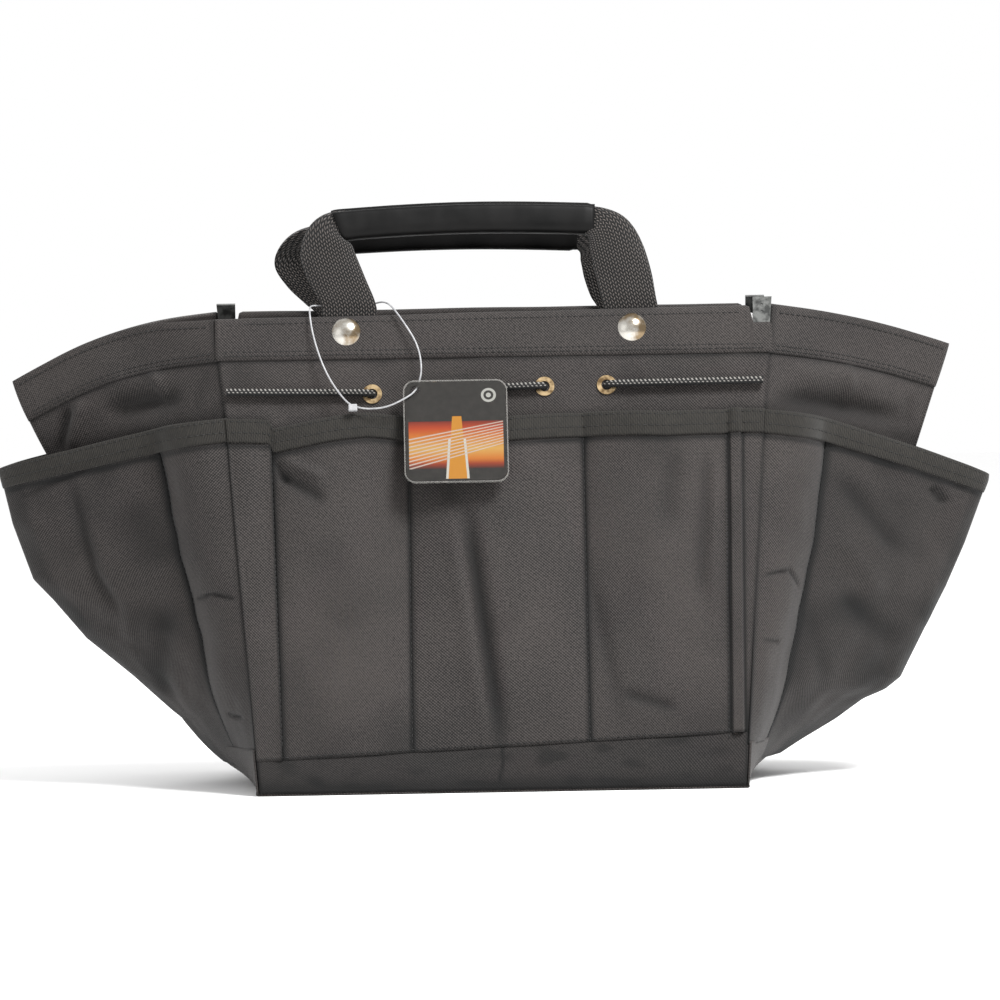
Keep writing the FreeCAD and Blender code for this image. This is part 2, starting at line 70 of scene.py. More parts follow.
# A wall's own frame, as in the CAD: x along, n outwards from the cloth's face, w up from the fold.
LEAN = math.radians(15)
HALF_DEPTH = 117.0
WALL_TOP = 277.5
HEM_FOOT = 250.0
HEM_DROP = 0.8955
BAND_TOP, POCKET_TOP, BINDING_TOP = 25.5, 204.0, 217.0
BINDING_FOOT = 201.5
STITCH_X = ((-122.5, -126.5), (-50.0, -49.0), (49.0, 49.0), (128.0, 131.0))
CORD_HEIGHTS = ((-155, 231), (-69, 229.2), (-34, 230.2), (28, 232), (155, 233))  # x, height
EYELETS = (-69.0, -34.0, 28.0, 63.0)
TAPE_ROWS = (0.4, 0.87)  # where the binding's two rows of stitches lie, as shares of its height
TAG_TOP_LEFT = (-50.7, 10.6, 232.8)
TAG_WIDTH, TAG_HEIGHT, TAG_CORNER = 56.4 * MM, 59.5 * MM, 5.5 * MM
TAG_TILT = math.radians(8)
LOOP_LENGTH, LOOP_DIAMETER = 0.217, 0.001


def between(table, at):
    for (p0, v0), (p1, v1) in zip(table, table[1:]):
        if at <= p1:
            break
    return v0 + (v1 - v0) * (at - p0) / (p1 - p0)


def smooth(t):
    t = min(max(t, 0.0), 1.0)
    return t * t * (3 - 2 * t)


def hump(t):
    return math.sin(math.pi * t)


def rise(t, low, high):
    return low + (high - low) * t


def half_width(w):
    return between(((0.0, 135.5), (212.0, 149.5), (WALL_TOP, 157.0)), w)


def wall(x, n, w, side="front"):
    """A place on a long wall, in the bag's frame, in millimetres."""
    y = -HALF_DEPTH - n * math.cos(LEAN) + w * math.sin(LEAN)
    z = n * math.sin(LEAN) + w * math.cos(LEAN)
    return Vector((x, y if side == "front" else -y, z))


def soft_noise(x, y, seed, size):
    return noise.noise(Vector((x / size, y / size, seed * 7.31)))


def crease(x, y, start, end, width, height=1.0):
    """A fold's height at a place: a soft ridge along a line, fading at its ends."""
    (x0, y0), (x1, y1) = start, end
    length = math.hypot(x1 - x0, y1 - y0)
    ux, uy = (x1 - x0) / length, (y1 - y0) / length
    along = (x - x0) * ux + (y - y0) * uy
    off = (x - x0) * -uy + (y - y0) * ux
    t = along / length
    if t < -0.15 or t > 1.15:
        return 0.0
    fade = smooth((t + 0.15) / 0.35) * smooth((1.15 - t) / 0.35)
    return height * fade * math.exp(-((off / width) ** 2))


def folds(table, x, y):
    return sum(crease(x, y, *fold) for fold in table)


def painted_shade_near(gap, width=1.0, depth=0.85):
    """How much painted shade darkens cloth `gap` millimetres from a seam, groove or shading edge."""
    return depth * math.exp(-((gap / width) ** 2))


# Materials.


class Material:
    """One node material, with short ways to add nodes to it."""

    def __init__(self, name, color, roughness=0.8, metallic=0.0):
        self.made = bpy.data.materials.new(name)
        self.made.use_nodes = True
        self.nodes, self.links = self.made.node_tree.nodes, self.made.node_tree.links
        self.shader = self.nodes["Principled BSDF"]
        self.give("Base Color", (*color, 1))
        self.give("Roughness", roughness)
        self.give("Metallic", metallic)

    def give(self, name, value):
        self.plug(self.shader.inputs[name], value)

    def finish(self, specular, sheen=0.0):
        self.give("Specular IOR Level", specular)
        self.give("Sheen Weight", sheen)
        return self.made

    def plug(self, socket, value):
        if isinstance(value, (int, float)):
            socket.default_value = value
        elif isinstance(value, (tuple, list)):
            socket.default_value = tuple(value)
        else:
            self.links.new(value, socket)

    def feed(self, node, **values):
        for name, value in values.items():
            self.plug(node.inputs[name], value)

    def math(self, kind, a, b=0.0):
        node = self.nodes.new("ShaderNodeMath")
        node.operation = kind
        self.plug(node.inputs[0], a)
        self.plug(node.inputs[1], b)
        return node.outputs[0]

    def times(self, a, b):
        return self.math("MULTIPLY", a, b)

    def plus(self, a, b):
        return self.math("ADD", a, b)

    def minus(self, a, b):
        return self.math("SUBTRACT", a, b)

    def over(self, a, b):
        return self.math("DIVIDE", a, b)

    def split(self, vector):
        node = self.nodes.new("ShaderNodeSeparateXYZ")
        self.links.new(vector, node.inputs[0])
        return node.outputs

    def uv(self):
        uv = self.nodes.new("ShaderNodeTexCoord").outputs["UV"]
        u, v, _ = self.split(uv)
        return u, v, uv

    def place(self):
        return self.nodes.new("ShaderNodeTexCoord").outputs["Object"]

    def noise(self, vector, scale, detail=3.0, roughness=0.5):
        node = self.nodes.new("ShaderNodeTexNoise")
        self.feed(node, Vector=vector, Scale=scale, Detail=detail, Roughness=roughness)
        return node.outputs["Fac"]

    def ramp(self, value, stops):
        node = self.nodes.new("ShaderNodeValToRGB")
        band = node.color_ramp
        while len(band.elements) < len(stops):
            band.elements.new(0.5)
        for element, (at, color) in zip(band.elements, stops):
            element.position = at
            element.color = (*color, 1)
        self.plug(node.inputs[0], value)
        return node.outputs[0]

    def paint(self, value, stops):
        self.give("Base Color", self.ramp(value, stops))

    def mix(self, fac, a, b):
        node = self.nodes.new("ShaderNodeMix")
        node.data_type = "RGBA"
        a, b = ((*c, 1) if isinstance(c, tuple) else c for c in (a, b))
        self.feed(node, Factor=fac, A=a, B=b)
        return node.outputs["Result"]

    def bump(self, height, strength, distance):
        node = self.nodes.new("ShaderNodeBump")
        self.feed(node, Strength=strength, Distance=distance, Height=height)
        self.give("Normal", node.outputs[0])

    def wave(self, along, pitch, phase=0.0):
        """0 to 1 to 0 over each pitch."""
        turned = self.plus(self.times(along, 2 * math.pi / pitch), phase)
        return self.plus(self.times(self.math("SINE", turned), 0.5), 0.5)


def cloth_material(name, dark, light, pitch=1.7e-3):
    """Woven coated polyester: slanting yarn floats, rubbed paler where they stand up. The `tone`
    attribute is painted shade, darkening the cloth where it runs into seams and deep folds."""
    g = Material(name, dark, 0.72)
    u, v, uv = g.uv()
    one = g.wave(g.plus(u, v), pitch)
    two = g.wave(g.minus(u, v), pitch)
    weave = g.times(one, g.plus(g.times(two, 0.7), 0.3))
    wear = g.noise(g.place(), 17.0, 4.0)
    fibre = g.noise(uv, 620.0, 3.0, 0.7)
    tone = g.plus(g.plus(g.times(weave, 0.42), g.times(wear, 0.3)), g.times(fibre, 0.5))
    # Painted shade: the per-point tone attribute mixes the cloth towards a far darker colour.
    shade = g.nodes.new("ShaderNodeAttribute")
    shade.attribute_name = "tone"
    cloth = g.ramp(tone, ((0.38, dark), (0.72, light)))
    g.give("Base Color", g.mix(shade.outputs["Fac"], cloth, tuple(c * 0.16 for c in dark)))
    g.bump(g.plus(weave, g.times(fibre, 0.8)), 0.5, 0.0004)
    g.give("Roughness", g.plus(g.times(wear, 0.25), 0.6))
    g.give("Sheen Roughness", 0.5)
    return g.finish(0.22, 0.06)


def tape_material():
    """Ribbed twill tape: fine ribs across its length, over a slanting twill."""
    g = Material("binding_tape", (0.06, 0.06, 0.052), 0.8)
    u, v, uv = g.uv()
    rib = g.wave(u, 1.0e-3)
    twill = g.wave(g.plus(u, g.times(v, 0.7)), 1.9e-3)
    height = g.plus(g.times(rib, 0.7), g.times(twill, 0.3))
    tone = g.plus(g.times(height, 0.6), g.times(g.noise(uv, 300), 0.4))
    g.paint(tone, ((0.25, (0.002, 0.0018, 0.0014)), (0.8, (0.0225, 0.0198, 0.0158))))
    g.bump(height, 0.6, 0.0004)
    return g.finish(0.3, 0.06)


def webbing_material():
    """Coarse webbing: rows of small slanting yarn floats that lean the other way in each row."""
    g = Material("webbing", (0.05, 0.047, 0.046), 0.85)
    u, v, uv = g.uv()
    row = g.math("PINGPONG", u, 1.5e-3)
    slant = g.wave(g.plus(v, g.times(row, 1.15)), 2.3e-3)
    column = g.wave(u, 1.5e-3)
    height = g.times(g.math("POWER", slant, 0.8), g.plus(column, 0.35))
    worn = g.plus(g.noise(uv, 500), g.noise(uv, 70))
    # The tops of the yarn floats are painted much paler, a painted highlight on the weave, over
    # random wear.
    tone = g.plus(g.times(height, 0.76), g.times(worn, 0.24))
    g.paint(tone, ((0.3, (0.0012, 0.0011, 0.0011)), (0.7, (0.005, 0.0042, 0.0039)),
                   (1.0, (0.085, 0.073, 0.066))))
    g.bump(height, 0.9, 0.0008)
    return g.finish(0.25, 0.12)


def grip_material():
    g = Material("grip_sleeve", (0.006, 0.006, 0.006), 0.42)
    grain = g.noise(g.place(), 900.0, 3.0)
    scuff = g.noise(g.place(), 45.0, 4.0)
    g.paint(scuff, ((0.35, (0.0006, 0.0006, 0.0006)), (0.65, (0.0036, 0.0034, 0.0033))))
    g.give("Roughness", g.plus(g.times(scuff, 0.3), 0.36))
    g.bump(grain, 0.15, 0.0002)
    return g.finish(0.14)


def thread_material(name, color):
    g = Material(name, color, 0.6)
    twist = g.noise(g.place(), 1800.0, 1.0)
    g.paint(twist, ((0.3, tuple(c * 0.6 for c in color)), (0.7, color)))
    return g.made


def metal_material(name, core, rim, roughness, scale=60.0):
    g = Material(name, core, roughness, 1.0)
    # Random patches of the darker rim colour: stain, and on the nickel rivets also a painted brown
    # reflection.
    stain_and_reflection = g.noise(g.place(), scale, 4.0)
    fine = g.noise(g.place(), 1500.0, 2.0)
    g.paint(stain_and_reflection, ((0.4, rim), (0.58, core)))
    g.give("Roughness", g.plus(g.times(stain_and_reflection, 0.2), roughness - 0.05))
    g.bump(fine, 0.06, 0.0002)
    return g.made


def braid_material():
    """Braided elastic: black, with two rows of white flecks on the side that shows."""
    g = Material("elastic_braid", (0.01, 0.01, 0.01), 0.75)
    x, _, z = g.split(g.place())
    pitch = 2.4e-3
    left, right = CORD_HEIGHTS[0][0], CORD_HEIGHTS[-1][0]
    low, span = 225, 10  # the cord's heights, taken as shares of this stretch of the wall
    heights = [((at - left) / (right - left), ((height - low) / span,) * 3)
               for at, height in CORD_HEIGHTS]
    share = g.ramp(g.over(g.minus(x, left * MM), (right - left) * MM), heights)
    height = g.plus(g.times(share, span * MM), low * MM)
    middle = g.plus(g.times(height, math.cos(LEAN)), 3.6 * MM * math.sin(LEAN))
    z = g.minus(z, middle)

    def fleck_row(up, shift, half):
        off = g.minus(z, up)
        near = g.minus(1.0, g.over(g.math("ABSOLUTE", off), half))
        lean = g.plus(x, g.times(off, 0.6))
        fleck = g.minus(g.wave(lean, pitch, shift), 0.6)
        return g.math("GREATER_THAN", g.math("MINIMUM", near, fleck), 0.05)

    flecks = g.math("MAXIMUM", fleck_row(1.5e-3, 0.0, 7e-4), fleck_row(-1e-4, math.pi, 3.5e-4))
    one = g.wave(g.plus(x, g.times(z, 1.4)), pitch / 2)
    two = g.wave(g.minus(x, g.times(z, 1.4)), pitch / 2)
    height = g.math("MAXIMUM", one, two)
    black = g.ramp(height, ((0.3, (0.003, 0.003, 0.003)), (1.0, (0.02, 0.02, 0.02))))
    g.give("Base Color", g.mix(flecks, black, (0.22, 0.21, 0.195)))
    g.bump(height, 0.7, 0.0005)
    return g.finish(0.2)


def plane_places(g, corner, across, up):
    """0 to 1 across and up the tag, from its lower left corner; across and up are directions."""
    away = g.nodes.new("ShaderNodeVectorMath")
    away.operation = "SUBTRACT"
    g.plug(away.inputs[0], g.place())
    g.plug(away.inputs[1], corner)
    made = []
    for direction, size in ((across, TAG_WIDTH), (up, TAG_HEIGHT)):
        dot = g.nodes.new("ShaderNodeVectorMath")
        dot.operation = "DOT_PRODUCT"
        g.plug(dot.inputs[0], away.outputs[0])
        g.plug(dot.inputs[1], direction)
        made.append(g.over(dot.outputs["Value"], size))
    return made


def card_material(*plane):
    """The card's print: charcoal, a warm panel with thin slanting stripes and an upright bar, and
    a plain round emblem."""
    g = Material("tag_print", (0.03, 0.03, 0.032), 0.6)
    s, t = plane_places(g, *plane)

    def step(value, at):
        return g.math("GREATER_THAN", value, at)

    def inside(value, low, high):
        return g.times(step(value, low), g.minus(1.0, step(value, high)))

    warm = g.ramp(t, (
        (0.12, (0.014, 0.007, 0.005)), (0.17, (0.13, 0.016, 0.004)), (0.22, (0.25, 0.075, 0.008)),
        (0.32, (0.27, 0.15, 0.035)), (0.44, (0.25, 0.075, 0.009)), (0.53, (0.2, 0.024, 0.004)),
        (0.6, (0.08, 0.008, 0.003))))
    # The stripes fan out a little to the left, between two slanting lines.
    lowest = g.plus(g.times(s, 0.27), 0.104)
    spread = g.minus(0.316, g.times(s, 0.086))
    fan = g.over(g.minus(t, lowest), spread)
    stripe = g.times(step(g.wave(fan, 0.118), 0.64), inside(fan, -0.02, 1.03))
    charcoal = g.ramp(g.noise(g.place(), 260.0, 3.0),
                      ((0.3, (0.008, 0.0072, 0.006)), (0.8, (0.015, 0.0135, 0.0115))))
    window = g.times(inside(s, 0.03, 0.97), inside(t, 0.12, 0.6))
    color = g.mix(window, charcoal, warm)
    off = g.math("ABSOLUTE", g.minus(s, 0.51))
    taper = g.minus(off, g.times(g.minus(0.65, t), 0.075))
    post = g.times(g.math("LESS_THAN", taper, 0.07), inside(t, 0.02, 0.42))
    color = g.mix(post, color, (0.25, 0.24, 0.21))
    post = g.times(g.math("LESS_THAN", taper, 0.046), inside(t, 0.02, 0.65))
    color = g.mix(post, color, (0.25, 0.105, 0.009))
    color = g.mix(g.times(g.times(stripe, window), 0.85), color, (0.24, 0.205, 0.175))
    dx = g.times(g.minus(s, 0.83), TAG_WIDTH)
    dy = g.times(g.minus(t, 0.86), TAG_HEIGHT)
    far = g.math("SQRT", g.plus(g.times(dx, dx), g.times(dy, dy)))
    ring = g.math("MAXIMUM", inside(far, 0.0028, 0.0042), g.math("LESS_THAN", far, 0.0014))
    g.give("Base Color", g.mix(ring, color, (0.2, 0.198, 0.18)))
    return g.finish(0.2)


def film_material(*plane):
    """Clear film, milky at its welded rim."""
    g = Material("tag_film", (0.16, 0.155, 0.145), 0.5)
    s, t = plane_places(g, *plane)
    past = []
    for place, size in ((s, TAG_WIDTH), (t, TAG_HEIGHT)):
        off = g.times(g.math("ABSOLUTE", g.minus(place, 0.5)), size)
        past.append(g.math("MAXIMUM", g.minus(off, size / 2 - TAG_CORNER), 0.0))
    squares = g.plus(*(g.times(p, p) for p in past))
    outside = g.minus(g.math("SQRT", squares), TAG_CORNER)
    milk = g.plus(g.times(g.noise(g.place(), 400.0, 2.0), 0.6), 0.3)
    rim = g.times(g.math("GREATER_THAN", outside, 0.3 * MM), milk)
    g.give("Alpha", rim)  # clear inside the rim
    return g.finish(0.15)


def nylon_material():
    g = Material("loop_nylon", (0.3, 0.3, 0.31), 0.35)
    g.paint(g.noise(g.place(), 300.0, 2.0),
            ((0.3, (0.24, 0.24, 0.25)), (0.7, (0.34, 0.34, 0.345))))
    g.give("Subsurface Weight", 0.2)
    g.give("Subsurface Radius", (0.002, 0.002, 0.002))
    return g.made


def board_material():
    g = Material("board", (0.1, 0.085, 0.07), 0.9)
    flecks = g.noise(g.place(), 400.0, 5.0)
    g.paint(flecks, ((0.35, (0.06, 0.052, 0.045)), (0.7, (0.15, 0.13, 0.11))))
    g.bump(flecks, 0.3, 0.0004)
    return g.made


CLOTH = cloth_material("body_cloth", (0.0036, 0.0031, 0.003), (0.05, 0.0432, 0.0405))
TAPE = tape_material()
WEBBING = webbing_material()
GRIP = grip_material()
THREAD = thread_material("dark_thread", (0.0045, 0.0041, 0.004))
TAPE_THREAD = thread_material("tape_thread", (0.004, 0.004, 0.0035))
BRAID = braid_material()
# The nickel's brown patches are partly tarnish and partly a painted brown reflection.
NICKEL = metal_material("rivet_nickel", (0.5, 0.48, 0.44), (0.19, 0.14, 0.085), 0.17, 110.0)
BRASS = metal_material("eyelet_brass", (0.5, 0.37, 0.21), (0.17, 0.11, 0.055), 0.26, 240.0)
TIN = metal_material("bar_cap_metal", (0.12, 0.122, 0.118), (0.04, 0.041, 0.04), 0.5, 220.0)
STEEL = metal_material("frame_steel", (0.5, 0.5, 0.5), (0.35, 0.34, 0.33), 0.4)
BOARD = board_material()
NYLON = nylon_material()


# Meshes.


def add(name, data):
    made = bpy.data.objects.new(name, data)
    bpy.context.scene.collection.objects.link(made)
    return made


def new_mesh(name, points, faces, uvs, mat, body, blend=None, tones=None):
    """A piece from millimetre points. uvs is one (u, v) in metres for each point."""
    mesh = bpy.data.meshes.new(name)
    mesh.from_pydata([tuple(p * MM for p in q) for q in points], [], faces)
    layer = mesh.uv_layers.new(name="UVMap")
    for loop in mesh.loops:
        layer.data[loop.index].uv = uvs[loop.vertex_index]
    # tones: painted shade per point, with some random darker patches, kept as the tone attribute.
    if tones:
        mesh.attributes.new("tone", "FLOAT", "POINT").data.foreach_set("value", tones)
    mesh.polygons.foreach_set("use_smooth", [True] * len(mesh.polygons))
    mesh.materials.append(mat)
    mesh.validate()
    piece = add(name, mesh)
    if blend:
        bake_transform(piece)
    else:
        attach(piece, body)
    return piece


def sheet(name, at, columns, rows, thick, mat, body, lengths, blend=None, flip=False,
          tone=None):
    """A thin closed piece of cloth. at(s, t) gives its outer face for s and t from 0 to 1."""
    grid = [[Vector(at(i / columns, j / rows)) for i in range(columns + 1)]
            for j in range(rows + 1)]

    def normal(i, j):
        left, right = grid[j][max(i - 1, 0)], grid[j][min(i + 1, columns)]
        low, high = grid[max(j - 1, 0)][i], grid[min(j + 1, rows)][i]
        n = (right - left).cross(high - low)
        return n.normalized() if n.length > 1e-9 else Vector((0, -1, 0))

    sign = -1 if flip else 1
    places = [(i, j) for j in range(rows + 1) for i in range(columns + 1)]
    outer = [grid[j][i] for i, j in places]
    inner = [grid[j][i] - normal(i, j) * thick * sign for i, j in places]
    count = len(outer)
    width, height = lengths
    uvs = [(i / columns * width * MM, j / rows * height * MM) for i, j in places] * 2
    faces = []

    def index(i, j):
        return j * (columns + 1) + i

    for j in range(rows):
        for i in range(columns):
            a, b, c, d = index(i, j), index(i + 1, j), index(i + 1, j + 1), index(i, j + 1)
            faces.append((a, b, c, d))
            faces.append((d + count, c + count, b + count, a + count))
    rim = [(i, 0) for i in range(columns)] + [(columns, j) for j in range(rows)]
    rim += [(i, rows) for i in range(columns, 0, -1)] + [(0, j) for j in range(rows, 0, -1)]
    for k, place in enumerate(rim):
        a, b = index(*place), index(*rim[(k + 1) % len(rim)])
        faces.append((b, a, a + count, b + count))
    if flip:
        faces = [f[::-1] for f in faces]
    tones = None
    if tone:
        tones = [min(max(tone(i / columns, j / rows), 0.0), 1.0) for i, j in places] * 2
    return new_mesh(name, outer + inner, faces, uvs, mat, body, blend, tones)


def loft(name, rings, mat, body, blend=None, flip=False):
    """A closed piece through rings of equally many points."""
    n = len(rings[0])
    points, uvs, faces = [], [], []
    v = 0.0
    for k, ring in enumerate(rings):
        if k:
            v += (sum(ring, Vector()) / n - sum(rings[k - 1], Vector()) / n).length
        u = 0.0
        for i, p in enumerate(ring):
            if i:
                u += (p - ring[i - 1]).length
            points.append(p)
            uvs.append((u * MM, v * MM))
    for k in range(len(rings) - 1):
        for i in range(n):
            a, b = k * n + i, k * n + (i + 1) % n
            faces.append((a, b, b + n, a + n))
    for start, order in ((0, -1), ((len(rings) - 1) * n, 1)):
        ring = list(range(start, start + n))
        middle = sum((points[i] for i in ring), Vector()) / n
        points.append(middle)
        uvs.append(uvs[ring[0]])
        for i in range(n):
            face = (ring[i], ring[(i + 1) % n], len(points) - 1)
            faces.append(face if order > 0 else face[::-1])
    if flip:
        faces = [f[::-1] for f in faces]
    return new_mesh(name, points, faces, uvs, mat, body, blend)


def stitches(name, lines, mat, body, length=2.4, gap=1.1, width=0.5, blend=None):
    """Rows of single stitches along lines of (place, outward direction) pairs."""
    points, faces, uvs = [], [], []
    for line in lines:
        places = [Vector(p) for p, _ in line]
        runs = [(b - a).length for a, b in zip(places, places[1:])]
        total, at, k, done = sum(runs), gap, 0, 0.0
        while at + length < total:
            ends = []
            for want in (at, at + length):
                while k < len(runs) - 1 and done + runs[k] < want:
                    done += runs[k]
                    k += 1
                share = (want - done) / runs[k]
                ends.append((places[k].lerp(places[k + 1], share), Vector(line[k][1])))
            (a, out), (b, _) = ends
            along = (b - a).normalized()
            across = along.cross(out).normalized() * width / 2
            start = len(points)
            for p, crown in ((a, 0.0), (a.lerp(b, 0.5), 0.32), (b, 0.0)):
                edge = out * (crown * 0.6 - 0.05)
                points += [p - across + edge, p + out * (crown + 0.12), p + across + edge,
                           p - out * 0.35]
            uvs += [(0.0, 0.0)] * 12
            for ring in range(2):
                for i in range(4):
                    p, q = start + ring * 4 + i, start + ring * 4 + (i + 1) % 4
                    faces.append((p, q, q + 4, p + 4))
            faces.append((start + 3, start + 2, start + 1, start))
            faces.append((start + 8, start + 9, start + 10, start + 11))
            at += length + gap
    return new_mesh(name, points, faces, uvs, mat, body, blend)


# The long walls.


def stitch_x(k, w):
    return between(((26.0, STITCH_X[k][0]), (BINDING_TOP, STITCH_X[k][1])), w)


def pocket_sag(x):
    """How far the pockets' mouths hang below their seams, along the front."""
    return between(((-160, 0), (-149, 1), (-127, 2), (-125, 7.5), (-112, 6), (-90, 2.5), (-72, 0.5),
                    (-50, 2), (0, 5), (49, 1), (95, 3), (127, 1), (131, 0), (150, 0), (160, 0)), x)


def band_top(x):
    return BAND_TOP + 0.045 * x


def layer_height(t):
    """The pocket layer's height up the wall at share t, before it hangs."""
    return rise(t, BAND_TOP, POCKET_TOP + 2)


def layer_drop(x, t):
    """How far the pocket layer hangs at its mouth, and follows the band's slant at its foot."""
    return pocket_sag(x) * smooth(t * 1.1) + (1 - t) * (BAND_TOP - band_top(x))


def pocket_face(x, w):
    """How far the pocket layer's outer face stands off the wall."""
    edges = [-half_width(w)] + [stitch_x(k, w) for k in range(4)] + [half_width(w)]
    depth = between(((0, 0.0), (26, 0.5), (60, 3.0), (120, 6.2), (204, 8.6), (230, 8.8)), w)
    for k, (x0, x1) in enumerate(zip(edges, edges[1:])):
        if x <= x1 or k == 4:
            break
    share = min(max((x - x0) / (x1 - x0), 0.0), 1.0)
    full = 0.1 if k in (0, 4) else 1.0
    bulge = depth * full * hump(share) ** 0.75
    pull = 0.35 * math.exp(-min(share, 1 - share) * (x1 - x0) / 2.2)
    wrinkle = 0.9 * soft_noise(x, w, 3 + k, 34) + 0.35 * soft_noise(x, w, 11 + k, 11)
    wrinkle *= 0.25 + 0.75 * hump(share)
    creases = folds(WALL_FOLDS, x, w) * min(1.0, depth / 3)
    return 1.2 + max(bulge + wrinkle * min(1, depth / 4) + creases - pull, 0.05)


WALL_FOLDS = (  # start, end, width, height, in mm along the wall and up it
    ((-17, 160), (-1, 28), 5.2, -3.6), ((-25, 150), (-10, 34), 6.0, 1.2),
    ((68, 52), (96, 42), 3.5, -2.2), ((-29, 196), (-26, 168), 5.0, -1.2),
    ((-119, 197), (-98, 184), 3.0, 3.0), ((-122, 191), (-98, 172), 3.5, -2.6),
    ((-124, 198), (-117, 186), 2.0, -2.0), ((-52, 60), (-90, 34), 5.0, 1.2),
    ((51, 120), (66, 40), 4.5, -1.2), ((100, 196), (94, 150), 6.0, -1.2),
    ((118, 190), (112, 110), 4.0, -1.6), ((124, 190), (119, 90), 3.0, 1.4),
)


def pleat_at(x, start):
    """1 along the narrow pleat beside the right pocket, 0 beside it."""
    return smooth((x - start) / 1.2) * smooth((start + 7.5 - x) / 1.5)


def panel_face(x, w):
    pull = 1.0 - math.exp(-min(abs(abs(x) - half_width(w)), 30) / 6)
    ripple = 0.5 * soft_noise(x, w, 21, 30) + 0.25 * soft_noise(x, w, 22, 12)
    for eyelet in EYELETS:
        ripple *= smooth((math.hypot(x - eyelet, w - between(CORD_HEIGHTS, eyelet)) - 6) / 10)
    return ripple * pull * smooth(w / 40)


def wall_edge(w):
    """The wall's cloth stands a little past the seam, more towards the top."""
    return half_width(w) + 2.0 * smooth(w / 200) - 0.3


def hem_top(x, side):
    """The share of the hem's height that is left: its ends are cut down over the bar's caps,
    except at the front's left, where it covers the cap and droops a little."""
    if side == "front":
        lower = 3.2 * (1 - (x + 157) / 314) / 27.5
        return 1.0 - lower - (0.36 * smooth((x - 144.0) / 2.0) if x > 0 else 0.0)
    return 1.0 - 0.36 * smooth((abs(x) - 144.0) / 2.0)


def hem_ring(x, side):
    wave = 0.35 * soft_noise(x, 0, 31, 40)
    profile = ((0.9, 250), (1.0, 253), (1.15, 257), (1.25, 262), (1.25, 268), (1.15, 272.4),
               (1.2, 274.5), (0.7, 276.6), (-0.4, 277.5), (-1.8, 277.7), (-3.2, 277.2),
               (-4.0, 275.6), (-4.1, 272), (-4.1, 264), (-4.0, 257), (-3.4, 252), (-2.6, 249.6),
               (-0.6, 249.4))
    return [wall(x, n, HEM_FOOT + (w - HEM_FOOT) * hem_top(x, side) + wave * (w - 249) / 28, side)
            for n, w in profile]


def wall_normal(side):
    return Vector((0, -math.cos(LEAN) * (1 if side == "front" else -1), math.sin(LEAN)))


